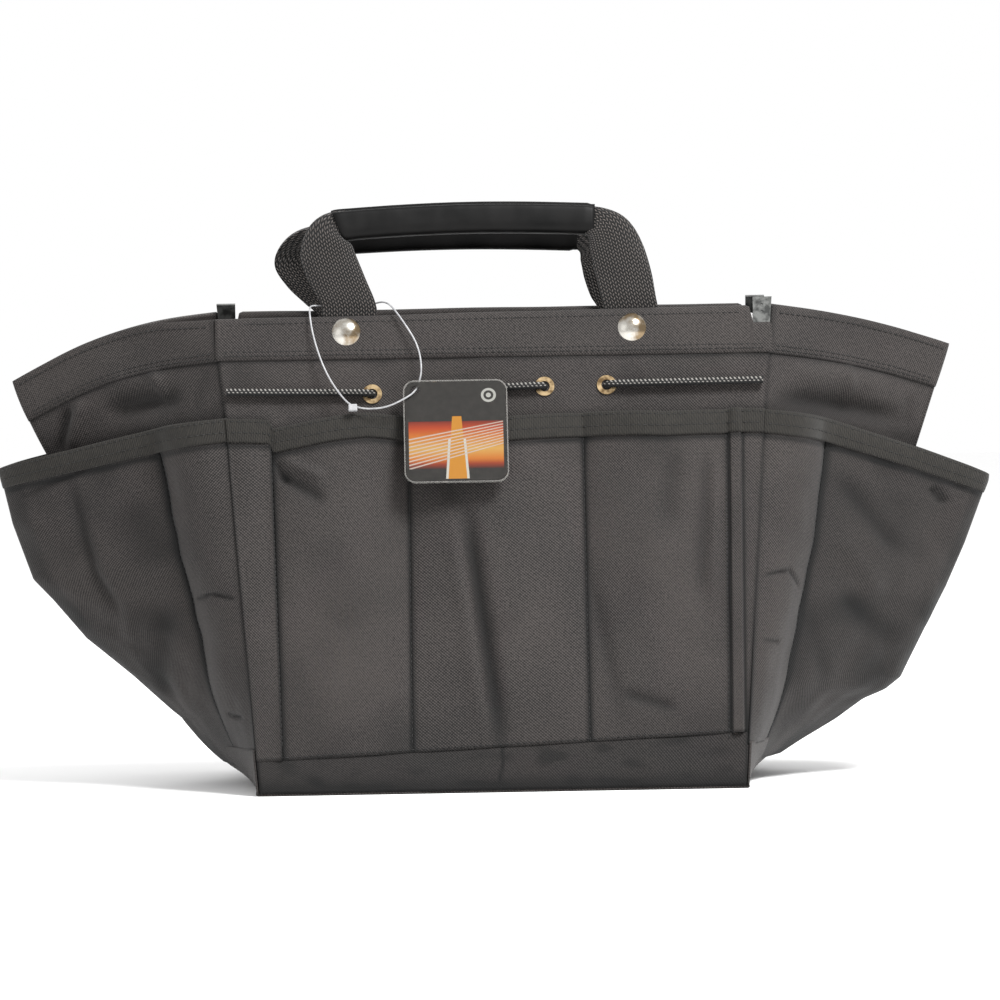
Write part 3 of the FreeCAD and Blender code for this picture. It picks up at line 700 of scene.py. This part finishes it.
def build_wall(side):
    body = f"{side}_wall"
    out = wall_normal(side)
    back = side == "rear"

    def piece(name, at, columns, rows, thick, lengths, tone=None, mat=CLOTH, slot="body_cloth"):
        return sheet(f"{side}_{name}", lambda s, t: wall(*at(s, t), side), columns, rows, thick,
                     mat, body, lengths, flip=back, tone=tone)

    def panel_at(s, t):
        w = rise(t, 1.8, HEM_FOOT + 1)
        x = (2 * s - 1) * wall_edge(w)
        return x, panel_face(x, w), w

    # Painted shade on the wall cloth: under the hem, behind the pockets' mouths and at the wall's
    # edges, with random darker patches above the binding.
    def panel_tone(s, t):
        x, _, w = panel_at(s, t)
        return (painted_shade_near(w - 249, 1.4, 0.6) + painted_shade_near(w - 216 + pocket_sag(x), 3.5, 0.45)
                + painted_shade_near(wall_edge(w) - abs(x), 0.8, 0.5)
                + 0.25 * smooth(soft_noise(x, w, 23, 22) * 2 - 0.1) * smooth((w - 217) / 8))

    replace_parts(piece("wall_cloth", panel_at, 150, 124, 1.3, (300, 248), panel_tone),
                f"{side}_panel")

    edge, count = wall_edge(262), 150
    xs = [-edge + 2 * edge * k / count for k in range(count + 1)]
    hem = loft(f"{side}_hem_cloth", [hem_ring(x, side) for x in xs], CLOTH, body,
               flip=not back)
    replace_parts(hem, f"{side}_hem")

    for k, name in enumerate(("pocket_left", "pocket_middle", "pocket_right")):

        def pocket_at(s, t, k=k):
            w = layer_height(t)
            x = rise(s, stitch_x(k, w), stitch_x(k + 1, w))
            return x, pocket_face(x, w), w - layer_drop(x, t)

        # Painted shade on each pocket: in the grooves at its stitch lines, in its creases, at its
        # foot and under the binding; also darker towards the bottom and in random patches.
        def pocket_tone(s, t, k=k):
            w = layer_height(t)
            width = stitch_x(k + 1, w) - stitch_x(k, w)
            tone = painted_shade_near(s * width, 2.6 if k == 0 else 2.1, 1.0)
            tone += painted_shade_near((1 - s) * width, 1.9 if k == 2 else 1.5, 0.95)
            x = stitch_x(k, w) + width * s
            tone += 0.25 * max(-folds(WALL_FOLDS, x, w), 0) + painted_shade_near(t * 178, 1.2, 0.5)
            tone += painted_shade_near(w - BINDING_FOOT, 1.7, 0.85)
            return tone + 0.2 * smooth(soft_noise(x, w, 24, 30) * 1.6) + 0.25 * smooth((70 - w) / 60)

        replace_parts(piece(f"{name}_cloth", pocket_at, 80, 120, 1.0, (90, 178), pocket_tone),
                    f"{side}_{name}")

    strips = []
    for k, name in ((0, "left"), (3, "right")):

        def strip_at(s, t, k=k):
            w = layer_height(t)
            edge = wall_edge(w)
            x0, x1 = (-edge, stitch_x(0, w)) if k == 0 else (stitch_x(3, w), edge)
            x = rise(s, x0, x1)
            pleat = 0.9 * math.exp(-(((x - x1) / 3.0) ** 2)) if k == 0 else 2.4 * pleat_at(x, x0)
            return x, pocket_face(x, w) + pleat, w - layer_drop(x, t)

        # Painted shade on the side strips: at their seams, in the right pleat's fold, at the foot
        # and under the binding.
        def strip_tone(s, t, k=k):
            w = layer_height(t)
            width = wall_edge(w) - abs(stitch_x(k, w))
            gap = (1 - s) * width if k == 0 else s * width
            tone = painted_shade_near(gap, 0.9, 0.9) + painted_shade_near(width - gap, 1.0, 0.7)
            if k == 3:
                tone += painted_shade_near(gap - 8.0, 1.1, 0.9)
            return tone + painted_shade_near(t * 178, 1.2, 0.5) + painted_shade_near(w - BINDING_FOOT, 1.7, 0.85)

        strips.append(piece(f"{name}_strip_cloth", strip_at, 36, 80, 1.0, (20, 178), strip_tone))
    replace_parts(strips[0], f"{side}_pocket_side_strips")

    def band_at(s, t):
        x = (2 * s - 1) * (half_width(26 * t) - 0.2)
        w = rise(t, 1.6, band_top(x) + 1.0)
        ripple = 0.35 * soft_noise(x, w, 41, 18)
        return x, 0.9 + ripple + 0.25 * hump(t), w

    # Painted shade on the bottom band: darker all over, at its seams and towards its lower edge,
    # with random darker patches.
    def band_tone(s, t):
        x, _, w = band_at(s, t)
        seams = painted_shade_near(x + 2 - 0.1 * w, 0.8, 0.8) + painted_shade_near(half_width(w) - abs(x), 1.2, 0.8)
        wave = smooth(soft_noise(x, w * 2, 42, 16) * 1.6)
        return 0.54 + seams + 0.45 * smooth((13 - w) / 12) + 0.3 * wave

    band = piece("band_cloth", band_at, 160, 16, 0.9, (275, 25), band_tone)
    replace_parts(band, f"{side}_bottom_band")

    def tape_at(s, t):
        w = rise(t, 203.2, BINDING_TOP)
        x = (2 * s - 1) * wall_edge(w)
        puff = 0.9 + 0.5 * hump(t) ** 0.5 + 0.12 * soft_noise(x, w, 51, 5)
        puff += 2.2 * pleat_at(x, stitch_x(3, w))
        return x, pocket_face(x, w) + puff, w - pocket_sag(x)

    tape = piece("binding_tape", tape_at, 260, 14, 2.2, (300, 14), mat=TAPE, slot="binding_tape")
    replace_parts(tape, f"{side}_pocket_binding")

    def row(face):
        return [(wall(x, n, w, side), out) for x, n, w in face]

    def span(w, edge=1.0, step=4):
        half = half_width(w) - edge
        count = int(2 * half / step)
        return [-half + 2 * half * k / count for k in range(count + 1)]

    dark = [row([(x, 1.2, 250 + 23.2 * hem_top(x, side)) for x in span(264, 14)])]
    for w in (254.6, 252.2):
        dark.append(row([(x, 1.05, w) for x in span(w)]))
    for k in range(4):
        for shift in ((-1.6, 1.6) if k == 3 else (0.0,)):
            line = []
            for j in range(46):
                w = rise(j / 45, 27, POCKET_TOP)
                x = stitch_x(k, w) + shift
                down = pocket_sag(x) * smooth((w - 26) / 178 * 1.1)
                line.append((x, pocket_face(x, w) + 0.05, w - down))
            dark.append(row(line))
    dark.append(row([(x, pocket_face(x, 27) + 0.1, band_top(x) + 1.5) for x in span(27)]))
    stitches(f"{side}_wall_stitches", dark, THREAD, body)
    tape_rows = []
    for t in TAPE_ROWS:
        line = []
        for k in range(201):
            x, n, w = tape_at(0.004 + 0.992 * k / 200, t)
            line.append((x, n + 0.02, w))
        tape_rows.append(row(line))
    stitches(f"{side}_tape_stitches", tape_rows, TAPE_THREAD, body)


# The handles.


def rounded_section(width, thick, count=28, power=4.0):
    """A flattened round outline, (across, outwards)."""
    ring = []
    for k in range(count):
        a = 2 * math.pi * k / count
        c, s = math.cos(a), math.sin(a)
        ring.append((width / 2 * math.copysign(abs(c) ** (2 / power), c),
                     thick / 2 * math.copysign(abs(s) ** (2 / power), s)))
    return ring


def smooth_path(stations, steps):
    """Catmull-Rom through stations of equally many numbers."""
    made = []
    padded = [stations[0]] + list(stations) + [stations[-1]]
    for k in range(len(stations) - 1):
        a, b, c, d = padded[k:k + 4]
        for j in range(steps):
            t = j / steps
            made.append(tuple(
                0.5 * (2 * q + (r - p) * t + (2 * p - 5 * q + 4 * r - s) * t * t
                       + (3 * q - p - 3 * r + s) * t ** 3)
                for p, q, r, s in zip(a, b, c, d)))
    made.append(tuple(stations[-1]))
    return made


WEB_MIDDLE = -4.9


def leg(name, anchor, turned, stations, side, seed):
    """One leg of the webbing: stations are x, rise, width, thickness, turn and how far it cups.
    It starts down in the hem, at the anchor."""
    rings = []
    sewn = tuple((anchor, low, 30, 1.8, turned, 0) for low in (-30, -14))
    for x, up, width, thick, turn, cup in smooth_path(sewn + stations, 9):
        a = math.radians(turn)
        ring = []
        for across, outward in rounded_section(width, thick, 36, 5.0):
            share = 2 * across / width
            ripple = 0.45 * soft_noise(across * 1.2, up, seed, 9) * smooth(up / 12)
            n = WEB_MIDDLE + outward + cup * (1 - share * share) + ripple
            ring.append(wall(x + across * math.cos(a), n, WALL_TOP + up - across * math.sin(a),
                             side))
        rings.append(ring)
    start, end = wall(0, 0, WALL_TOP + 0.5, side), wall(0, 0, WALL_TOP + 7, side)
    return loft(name, rings, WEBBING, None,
                blend=(f"{side}_wall", f"{side}_handle", start * MM, end * MM),
                flip=side == "front")


def build_handle(side, left, right, grip):
    """The two webbing legs and the sleeve. grip is start x, end x, rise at each end and arch."""
    legs = [leg(f"{side}_webbing_left", -83, 0, left, side, 61),
            leg(f"{side}_webbing_right", 78, 180, right, side, 62)]
    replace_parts(legs[0], f"{side}_handle_webbing")
    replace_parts(legs[1], f"{side}_handle_anchors")
    x0, x1, rise0, rise1, arch = grip
    rings = []
    count = 70
    for k in range(count + 1):
        t = k / count
        x = rise(t, x0, x1)
        height = rise(t, rise0, rise1) + arch * hump(t)
        slope = math.atan2((rise1 - rise0) + arch * math.pi * math.cos(math.pi * t), x1 - x0)
        end = min(t, 1 - t) * count
        size = (0.93, 0.98, 1.0)[min(int(end), 2)] if end < 2 else 1.0
        ring = []
        for up, outward in rounded_section(18.2, 11.5, 40, 3.2):
            crown = smooth((up - 6.2) / 1.2)
            outward *= size * (1 - 0.55 * crown)
            lean_end = -0.28 * (up - 9) * (1 - smooth(t * 9)) * (1 if x1 > x0 else -1)
            soft = 0.28 * soft_noise(x, up + outward, 71, 13) + 0.16 * soft_noise(x, outward, 72, 5)
            ring.append(wall(x + lean_end - up * math.sin(slope),
                             WEB_MIDDLE + outward * (1 + soft * 0.08) + soft * 0.25,
                             WALL_TOP + height + up * size * math.cos(slope), side))
        rings.append(ring)
    sleeve = loft(f"{side}_grip_sleeve", rings, GRIP, f"{side}_handle",
                  flip=side == "rear")
    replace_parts(sleeve, f"{side}_handle_grip")


FRONT_LEFT = ((-81, -1, 31, 1.8, 0, 0), (-82, 7, 31, 2.0, 0, 1.2),
              (-87, 18, 32, 2.4, -3, 2.4), (-92, 32, 32, 3.0, 0, 3.4),
              (-92.5, 43, 27, 4.6, 12, 3.4), (-89.5, 50, 19, 6.0, 48, 1.6),
              (-82, 52.6, 14.5, 6.2, 82, 0.3), (-70, 53.4, 13, 5.5, 88, 0))
FRONT_RIGHT = ((78, -1, 30.5, 1.8, 180, 0), (76.5, 8, 31, 2.0, 180, 1.2),
               (74, 22, 31.5, 2.4, 178, 2.4), (70.5, 36, 30, 3.2, 172, 3.2),
               (66, 46, 25, 4.8, 150, 3.0), (59, 51, 18.5, 6.0, 122, 1.4),
               (50, 53, 14.5, 6.2, 98, 0.3), (38, 54, 13, 5.5, 92, 0))
REAR_LEFT = ((-85, -1, 30.5, 1.8, 0, 0), (-91, 7, 31, 2.0, -6, 1.2),
             (-101, 18, 32, 2.4, -6, 2.6), (-108, 29, 31, 3.0, 2, 3.6),
             (-106, 38, 24, 4.6, 30, 3.0), (-98, 43, 17.5, 6.0, 66, 1.2),
             (-88, 43.4, 14.5, 6.2, 84, 0.3), (-76, 43.4, 13, 5.5, 88, 0))
REAR_RIGHT = ((77, -1, 30.5, 1.8, 180, 0), (73, 7, 31, 2.0, 180, 1.2),
              (69.5, 18, 31, 2.4, 178, 2.4), (66.5, 29, 29, 3.2, 172, 3.2),
              (62, 38, 24, 4.8, 148, 3.0), (55, 42.5, 18, 6.0, 120, 1.4),
              (46, 43.5, 14.5, 6.2, 98, 0.3), (34, 44, 13, 5.5, 92, 0))


# The ends.


POCKET_CREASE = {
    "left": ((0, 137), (8, 147), (26, 161), (42, 181), (62, 202), (84, 228), (106, 246),
             (118, 257), (150, 268), (186, 276)),
    "right": ((0, 137), (8.6, 152), (19, 168), (31, 188), (42, 203), (47, 215), (54, 224),
              (80, 237), (105, 250), (130, 261), (165, 274), (186, 278)),
}
# shade is painted shade laid over the whole wide pocket, heavier on the right end.
WING = {
    "left": {"out": 9.5, "drop": -9.0, "arch": 8.0, "fall": 0.86, "fold": 0.8, "shade": 0.1},
    "right": {"out": -3.5, "drop": 3.5, "arch": 3.0, "fall": 0.8, "fold": 0.86, "shade": 0.28},
}
WING_FOLDS = {  # start, end, width, height, in mm from the seam along the gusset and up it
    "left": (((88, 246), (102, 224), 3.2, -6.0), ((80, 246), (96, 222), 4.0, 4.5),
             ((26, 231), (66, 236), 6.0, -6.0), ((30, 244), (62, 249), 5.0, 2.5),
             ((38, 250), (34, 232), 3.0, 3.0), ((8, 246), (20, 222), 4.0, -2.0)),
    "right": (((10, 224), (92, 226), 6.0, -6.0), ((20, 240), (84, 243), 7.0, 3.0),
              ((50, 250), (58, 232), 3.5, 1.5), ((96, 240), (100, 222), 4.0, -2.0)),
}
POCKET_FOLDS = {
    "left": (((96, 196), (96, 118), 3.5, -3.0), ((70, 178), (62, 140), 12.0, -2.8),
             ((64, 110), (104, 64), 8.0, -3.0), ((86, 120), (100, 96), 5.0, 2.4),
             ((84, 206), (118, 196), 3.0, -2.4)),
    "right": (((60, 186), (96, 150), 6.0, -3.0), ((64, 150), (92, 122), 6.0, 2.6),
              ((72, 118), (110, 92), 7.0, -2.6), ((104, 196), (112, 188), 3.0, -3.0),
              ((52, 110), (80, 60), 6.0, -2.0)),
}
TUCKS = {
    "left": (((6, 113), (24, 118), 1.3), ((24, 118), (44, 116), 1.3), ((14, 45), (36, 47), 1.0)),
    "right": (((6, 122), (28, 126), 1.2), ((28, 126), (44, 118), 1.4), ((8, 84), (26, 84), 0.9)),
}
WING_STITCH = 0.40
CLOTH_SPAN, LAYER_SPAN = 110, 130  # the cloth and its pocket layer from seam to crease, in mm


def outset(off):
    """Roughly outwards from an end's front half."""
    return Vector((0.55 * off, -0.83 * off, 0))


def seam(w):
    return (half_width(w), -(HALF_DEPTH - w * math.sin(LEAN)), w * math.cos(LEAN))


def wing_crease_x(w):
    x, y, z = seam(w)
    length = 117.0 + 1.5 * w / WALL_TOP
    reach = math.sqrt(max(length ** 2 - y ** 2 - (z * (1 - HEM_DROP)) ** 2, 0))
    free = max(w - 1.7, 0.0) / (max(w - 1.7, 0.0) + 4)
    return x + reach * free * (0.8 + 0.22 * w / WALL_TOP)


def wing_face(s, w, end, droop=0.0):
    """The gusset's outer face in its front half: s is 0 at the seam and 1 at the crease."""
    lay = WING[end]
    x0, y0, z0 = seam(w)
    x1 = wing_crease_x(w) + lay["out"] * smooth((w - 120) / 150)
    z1 = z0 * HEM_DROP + lay["drop"] * smooth((w - 150) / 127)
    x, y, z = x0 + (x1 - x0) * s, y0 * (1 - s), z0 + (z1 - z0) * s
    z += lay["arch"] * hump(s) * smooth((w - 150) / 120)
    z -= droop * (1 - smooth(s / 0.4)) * smooth((w - 250) / 27)
    run = math.hypot(x1 - x0, y0)
    nx, ny = -y0 / run, -(x1 - x0) / run
    seed = 81 if end == "left" else 91
    along = s * CLOTH_SPAN
    lift = 2.0 + 2.6 * soft_noise(along, w, seed, 42) + 1.0 * soft_noise(along, w, seed + 1, 15)
    lift += folds(WING_FOLDS[end], along, w)
    lift *= hump(min(max(s, 0), 1)) ** 0.8 * smooth(w / 50)
    return Vector((x + nx * lift, y + ny * lift, z))


def wing_pocket_face(s, w, end):
    """The pocket layer over the gusset: a narrow pocket by the seam, a wide one to the crease."""
    base = wing_face(s, w, end)
    depth = between(((0, 0.0), (26, 1.0), (60, 3.2), (120, 5.6), (204, 8.2), (230, 8.6)), w)
    seed = 101 if end == "left" else 111
    along = s * LAYER_SPAN
    crumple = 1.5 * soft_noise(along, w, seed, 36) + 0.6 * soft_noise(along, w, seed + 1, 13)
    if s <= WING_STITCH:
        share = s / WING_STITCH
        off = 0.7 + 0.6 * smooth(share * 4) + (depth + crumple) * hump(share)
        off -= 2.2 * folds(TUCKS[end], along, w) * hump(share)
        return base + outset(off)
    share = (s - WING_STITCH) / (1 - WING_STITCH)
    start = wing_face(WING_STITCH, w, end) + outset(1.3)
    lay = WING[end]
    zc = seam(w)[2] * lay["fall"] + 1.0
    xc = max(between(POCKET_CREASE[end], zc) * 1.025, wing_crease_x(w) + 3)
    tip = Vector((xc, 0, zc))
    place = start.lerp(tip, share)
    fold = lay["fold"]
    if share < fold:
        shape = math.sin(math.pi / 2 * share / fold) ** 0.8
    else:
        shape = max(math.cos(math.pi / 2 * (share - fold) / (1 - fold)), 0.0) ** 0.7
    belly = (5.5 + 2.4 * crumple + folds(POCKET_FOLDS[end], along, w)) * shape * smooth(w / 60)
    return place + outset(belly)


def build_end(end):
    """Front and rear halves of one end, each following its own wall beside the seam."""
    mirror = -1 if end == "left" else 1
    made = {}
    for side in ("front", "rear"):
        flip = (end == "left") != (side == "rear")
        start, stop = wall(0, -1, 100, side) * MM, wall(0, -36, 100, side) * MM
        blend = (f"{side}_wall", "base", start, stop)

        def put(p):
            return Vector((p.x * mirror, p.y if side == "front" else -p.y, p.z))

        droop = 3.2 if (end, side) == ("left", "front") else 0.0

        def piece(name, at, columns, rows, thick, lengths, tone=None, mat=CLOTH, slot="body_cloth"):
            return sheet(f"{end}_{side}_{name}", lambda s, t: put(at(s, t)), columns, rows, thick,
                         mat, "base", lengths, blend=blend, flip=flip, tone=tone)

        def outwards(face, s, t):
            a = face(min(s + 0.01, 1), t) - face(max(s - 0.01, 0), t)
            b = face(s, t + 1) - face(s, t - 1)
            return put(a.cross(b).normalized())

        def cloth_at(s, t):
            return wing_face(s, rise(t, 1.7, HEM_FOOT + 1), end)

        # Painted shade on the gusset cloth: by the seam, under the hem, above the binding and in its
        # folds.
        def cloth_tone(s, t):
            w = rise(t, 1.7, HEM_FOOT + 1)
            along = s * CLOTH_SPAN
            return (painted_shade_near(along, 3.0, 0.75) + painted_shade_near(w - 249, 1.6, 0.6)
                    + painted_shade_near((w - 216) / 2, 3.0, 0.4)
                    + 0.1 * max(-folds(WING_FOLDS[end], along, w), 0))

        made["panel", side] = piece("gusset_cloth", cloth_at, 90, 124, 1.3, (118, 250), cloth_tone)

        def hem_at(s, t):
            p = wing_face(s, rise(t, HEM_FOOT - 0.5, WALL_TOP), end, droop)
            puff = 0.7 + 0.8 * hump(t) ** 0.5
            return p + Vector((0.45 * puff, -0.83 * puff, 0))

        # Painted shade on the gusset hem, by the seam and along its foot.
        def hem_tone(s, t):
            return painted_shade_near(s * CLOTH_SPAN, 2.5, 0.6) + painted_shade_near(t * 27, 0.9, 0.5)

        made["hem", side] = piece("gusset_hem", hem_at, 70, 20, 3.0, (118, 28), hem_tone)

        def band_at(s, t):
            return wing_face(s, 1.2 + 25.5 * t, end) + Vector((1.5, -0.6, 0))

        made["band", side] = piece("gusset_band", band_at, 50, 12, 1.0, (118, 25))

        def corner_at(s, t):
            return wing_pocket_face(s * WING_STITCH, rise(t, 25, POCKET_TOP + 1), end)

        # Painted shade on the corner pocket: at its stitch lines, under the binding and in its
        # tucks; also darker towards the bottom.
        def corner_tone(s, t):
            w = rise(t, 25, POCKET_TOP + 1)
            tone = painted_shade_near(s * 45, 2.0, 0.85) + painted_shade_near((1 - s) * 45, 1.5, 0.9)
            tone += painted_shade_near(w - BINDING_FOOT, 1.8, 0.85) + 0.3 * smooth((80 - w) / 60)
            return tone + 0.75 * folds(TUCKS[end], s * WING_STITCH * LAYER_SPAN, w)

        made["corner", side] = piece("corner_pocket_cloth", corner_at, 44, 130, 1.0, (47, 180),
                                     corner_tone)

        def wide_at(s, t):
            return wing_pocket_face(rise(s, WING_STITCH + 0.001, 1.0),
                                    rise(t, 14, POCKET_TOP + 1), end)

        # Painted shade on the wide pocket: by its seam, at its foot, in its folds, under the
        # binding, on the strip that turns away past the fold, over the whole pocket by WING's shade
        # and towards its lower outer part, with random darker patches.
        def wide_tone(s, t):
            w = rise(t, 14, POCKET_TOP + 1)
            full = rise(s, WING_STITCH, 1)
            tone = painted_shade_near(s * 75, 2.6, 1.0) + painted_shade_near(t * 190, 2.0, 0.5)
            tone += 0.15 * max(-folds(POCKET_FOLDS[end], full * LAYER_SPAN, w), 0)
            tone += painted_shade_near(w - BINDING_FOOT, 1.8, 0.85)
            tone += 0.35 * smooth((s - WING[end]["fold"] - 0.02) / 0.06)
            tone += WING[end]["shade"] + 0.34 * smooth(soft_noise(s * 90, w, 121, 30) * 1.7)
            tone += 0.25 * smooth((s - 0.55) / 0.35) * smooth((150 - w) / 70)
            return tone + 0.3 * smooth((70 - w) / 60) * smooth((s - 0.4) / 0.4)

        made["wide", side] = piece("crease_pocket_cloth", wide_at, 80, 120, 1.0, (95, 190),
                                   wide_tone)

        def tape_at(s, t):
            w = rise(t, 203.4, BINDING_TOP)
            reach = min(0.05, s, 1 - s)
            p = sum((wing_pocket_face(s + k * reach / 2, w, end) for k in range(-2, 3)),
                    Vector()) / 5
            puff = 0.9 + 0.5 * hump(t) ** 0.5
            return p + Vector((0.5 * puff, -0.8 * puff, 0))

        made["tape", side] = piece("gusset_tape", tape_at, 110, 12, 2.2, (140, 14), mat=TAPE,
                                   slot="binding_tape")
        count = 60
        rows = []
        for w, facing, down, off in ((254.2, 254.2, 0, (0.6, -1.2, 0)),
                                     (251.8, 251.8, 0, (0.6, -1.2, 0)),
                                     (273.2, 273, droop, (0.7, -1.3, 0))):
            rows.append([(put(wing_face(k / count, w, end, down) + Vector(off)),
                          outwards(lambda s, v: wing_face(s, v, end, down), k / count, facing))
                         for k in range(2, count)])
        line = []
        for k in range(2, 50):
            w = rise(k / 50, 26, POCKET_TOP)
            line.append((put(wing_pocket_face(WING_STITCH, w, end) + Vector((0.05, -0.1, 0))),
                         put(outset(1))))
        rows.append(line)
        stitches(f"{end}_{side}_gusset_stitches", rows, THREAD, None, blend=blend)
        rows = [[(put(tape_at(k / 90, t) + Vector((0.02, -0.05, 0))), put(outset(1)))
                 for k in range(1, 90)] for t in TAPE_ROWS]
        stitches(f"{end}_{side}_gusset_tape_stitches", rows, TAPE_THREAD, None,
                 blend=blend)
    for part, side, node in (("panel", "front", "panel"), ("hem", "front", "hem"),
                             ("band", "front", "bottom_band"), ("corner", "front", "front_pocket"),
                             ("corner", "rear", "rear_pocket"), ("wide", "front", "crease_pocket"),
                             ("tape", "front", "pocket_binding")):
        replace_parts(made[part, side], f"{end}_end_{node}")


def build_base():
    low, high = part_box("base_panel")
    rings = []
    rim, corner = 0.5, 3.0
    for z, inset in ((low[2], rim), (low[2] + rim * MM, 0.0), (high[2] - rim * MM, 0.0),
                     (high[2], rim)):
        ring = []
        for k in range(64):
            a = 2 * math.pi * k / 64
            c, s = math.cos(a), math.sin(a)
            x = (high[0] / MM - inset) * math.copysign(min(1, abs(c) * 1.5), c)
            y = (high[1] / MM - inset) * math.copysign(min(1, abs(s) * 1.5), s)
            if abs(x) > high[0] / MM - corner and abs(y) > high[1] / MM - corner:
                x, y = x - math.copysign(0.8, x), y - math.copysign(0.8, y)
            ring.append(Vector((x, y, z / MM)))
        rings.append(ring)
    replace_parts(loft("base_cloth", rings, CLOTH, "base"), "base_panel")


# The tag's nylon loop, in the wall's frame: x, off the wall, height.
LOOP_ROUTE = (
    (-81.5, -9.0, 281.9), (-92, -10.2, 282.6), (-102.5, -6.4, 283.4), (-103.8, 4.4, 277.4),
    (-101.7, 5.4, 261.5), (-96, 6.4, 243), (-88.5, 10.2, 228.5), (-80, 14.4, 217.8),
    (-62.5, 16.4, 216.6), (-48.5, 15.5, 223.8), (-45, 11.6, 227.9), (-43.2, 8.3, 231.3),
    (-40.6, 7.6, 241.5), (-42.8, 6.5, 256), (-50.5, 5.2, 269.5), (-57.5, 3.2, 280),
    (-61.5, -4.2, 284), (-65.5, -9.2, 284.6), (-72, -9.8, 283.2),
)


def build_loop():
    curve = bpy.data.curves.new("tag_nylon_loop", "CURVE")
    curve.dimensions = "3D"
    curve.bevel_depth = LOOP_DIAMETER / 2
    curve.bevel_resolution = 3
    curve.use_fill_caps = True
    spline = curve.splines.new("NURBS")
    spline.points.add(len(LOOP_ROUTE) - 1)
    for point, place in zip(spline.points, LOOP_ROUTE):
        point.co = (*(wall(*place) * MM), 1)
    spline.order_u = 3
    spline.use_endpoint_u = True
    spline.resolution_u = 8
    curve.materials.append(NYLON)
    loop = add("tag_nylon_loop", curve)
    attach(loop, "front_wall")
    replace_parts(loop, "tag_loop")


def dress(name, mat):
    bpy.data.objects[name].material_slots[0].material = mat


def dress_cad_pieces():
    """Materials for the CAD pieces that are shown as they are."""
    dressed = {"rivet_caps": NICKEL, "rivet_washers": NICKEL, "grommets": BRASS,
               "grommet_washers": BRASS, "bar_end_caps": TIN, "frame_bar": STEEL,
               "elastic_cord": BRAID}
    for side in ("front", "rear"):
        for node, mat in dressed.items():
            dress(f"{side}_{node}", mat)
    dress("base_board", BOARD)
    dress("tag_loop_lock", NYLON)
    tilt = LEAN + TAG_TILT
    up = Vector((0, math.sin(tilt), math.cos(tilt)))
    corner = wall(*TAG_TOP_LEFT) * MM - up * TAG_HEIGHT
    plane = (tuple(corner), (1, 0, 0), tuple(up))
    dress("tag_card", card_material(*plane))
    dress("tag_sleeve", film_material(*plane))


for wall_side in ("front", "rear"):
    build_wall(wall_side)
build_handle("front", FRONT_LEFT, FRONT_RIGHT, (-90, 58.5, 51.6, 53.0, 2.6))
build_handle("rear", REAR_LEFT, REAR_RIGHT, (-95, 50, 43.0, 43.5, 2.2))
for which in ("left", "right"):
    build_end(which)
build_base()
build_loop()
dress_cad_pieces()


# The studio.


def floor():
    mesh = bpy.data.meshes.new("floor")
    mesh.from_pydata([(-6, -6, 0), (6, -6, 0), (6, 6, 0), (-6, 6, 0)], [], [(0, 1, 2, 3)])
    mesh.materials.append(Material("floor", (0.95, 0.95, 0.95), 0.9).made)
    add("floor", mesh)


def light(name, place, target, size, power):
    data = bpy.data.lights.new(name, "AREA")
    data.size, data.energy = size, power
    lamp = add(name, data)
    lamp.location = place
    lamp.rotation_euler = (Vector(target) - Vector(place)).to_track_quat("-Z", "Y").to_euler()


def camera():
    data = bpy.data.cameras.new("camera")
    lens, sensor, frame_width = 300, 36, 0.56
    data.lens, data.sensor_width = lens, sensor
    azimuth, elevation, roll = map(math.radians, (-1.0, 2.0, -0.95))
    away = frame_width * lens / sensor
    target = Vector((0.0015, -0.08, 0.1615))
    direction = Vector((math.sin(azimuth) * math.cos(elevation),
                        -math.cos(azimuth) * math.cos(elevation), math.sin(elevation)))
    cam = add("camera", data)
    cam.location = target + direction * away
    turn = (-direction).to_track_quat("-Z", "Y").to_matrix()
    spin = turn @ Vector((0, 0, 1))
    cam.rotation_euler = (Matrix.Rotation(roll, 3, spin) @ turn).to_euler()
    bpy.context.scene.camera = cam


floor()
light("key", (0.95, -1.15, 2.0), (0, 0, 0.15), 0.7, 95)
light("fill", (-1.9, -1.7, 1.0), (0, 0, 0.15), 1.4, 4)
light("back", (0.2, 2.0, 1.8), (0, 0, 0.2), 1.6, 12)
world = bpy.data.worlds.new("studio")
world.use_nodes = True
sky = world.node_tree.nodes["Background"].inputs
sky[0].default_value, sky[1].default_value = (1, 1, 1, 1), 1.0
bpy.context.scene.world = world
bpy.context.scene.view_settings.view_transform = "Standard"
camera()
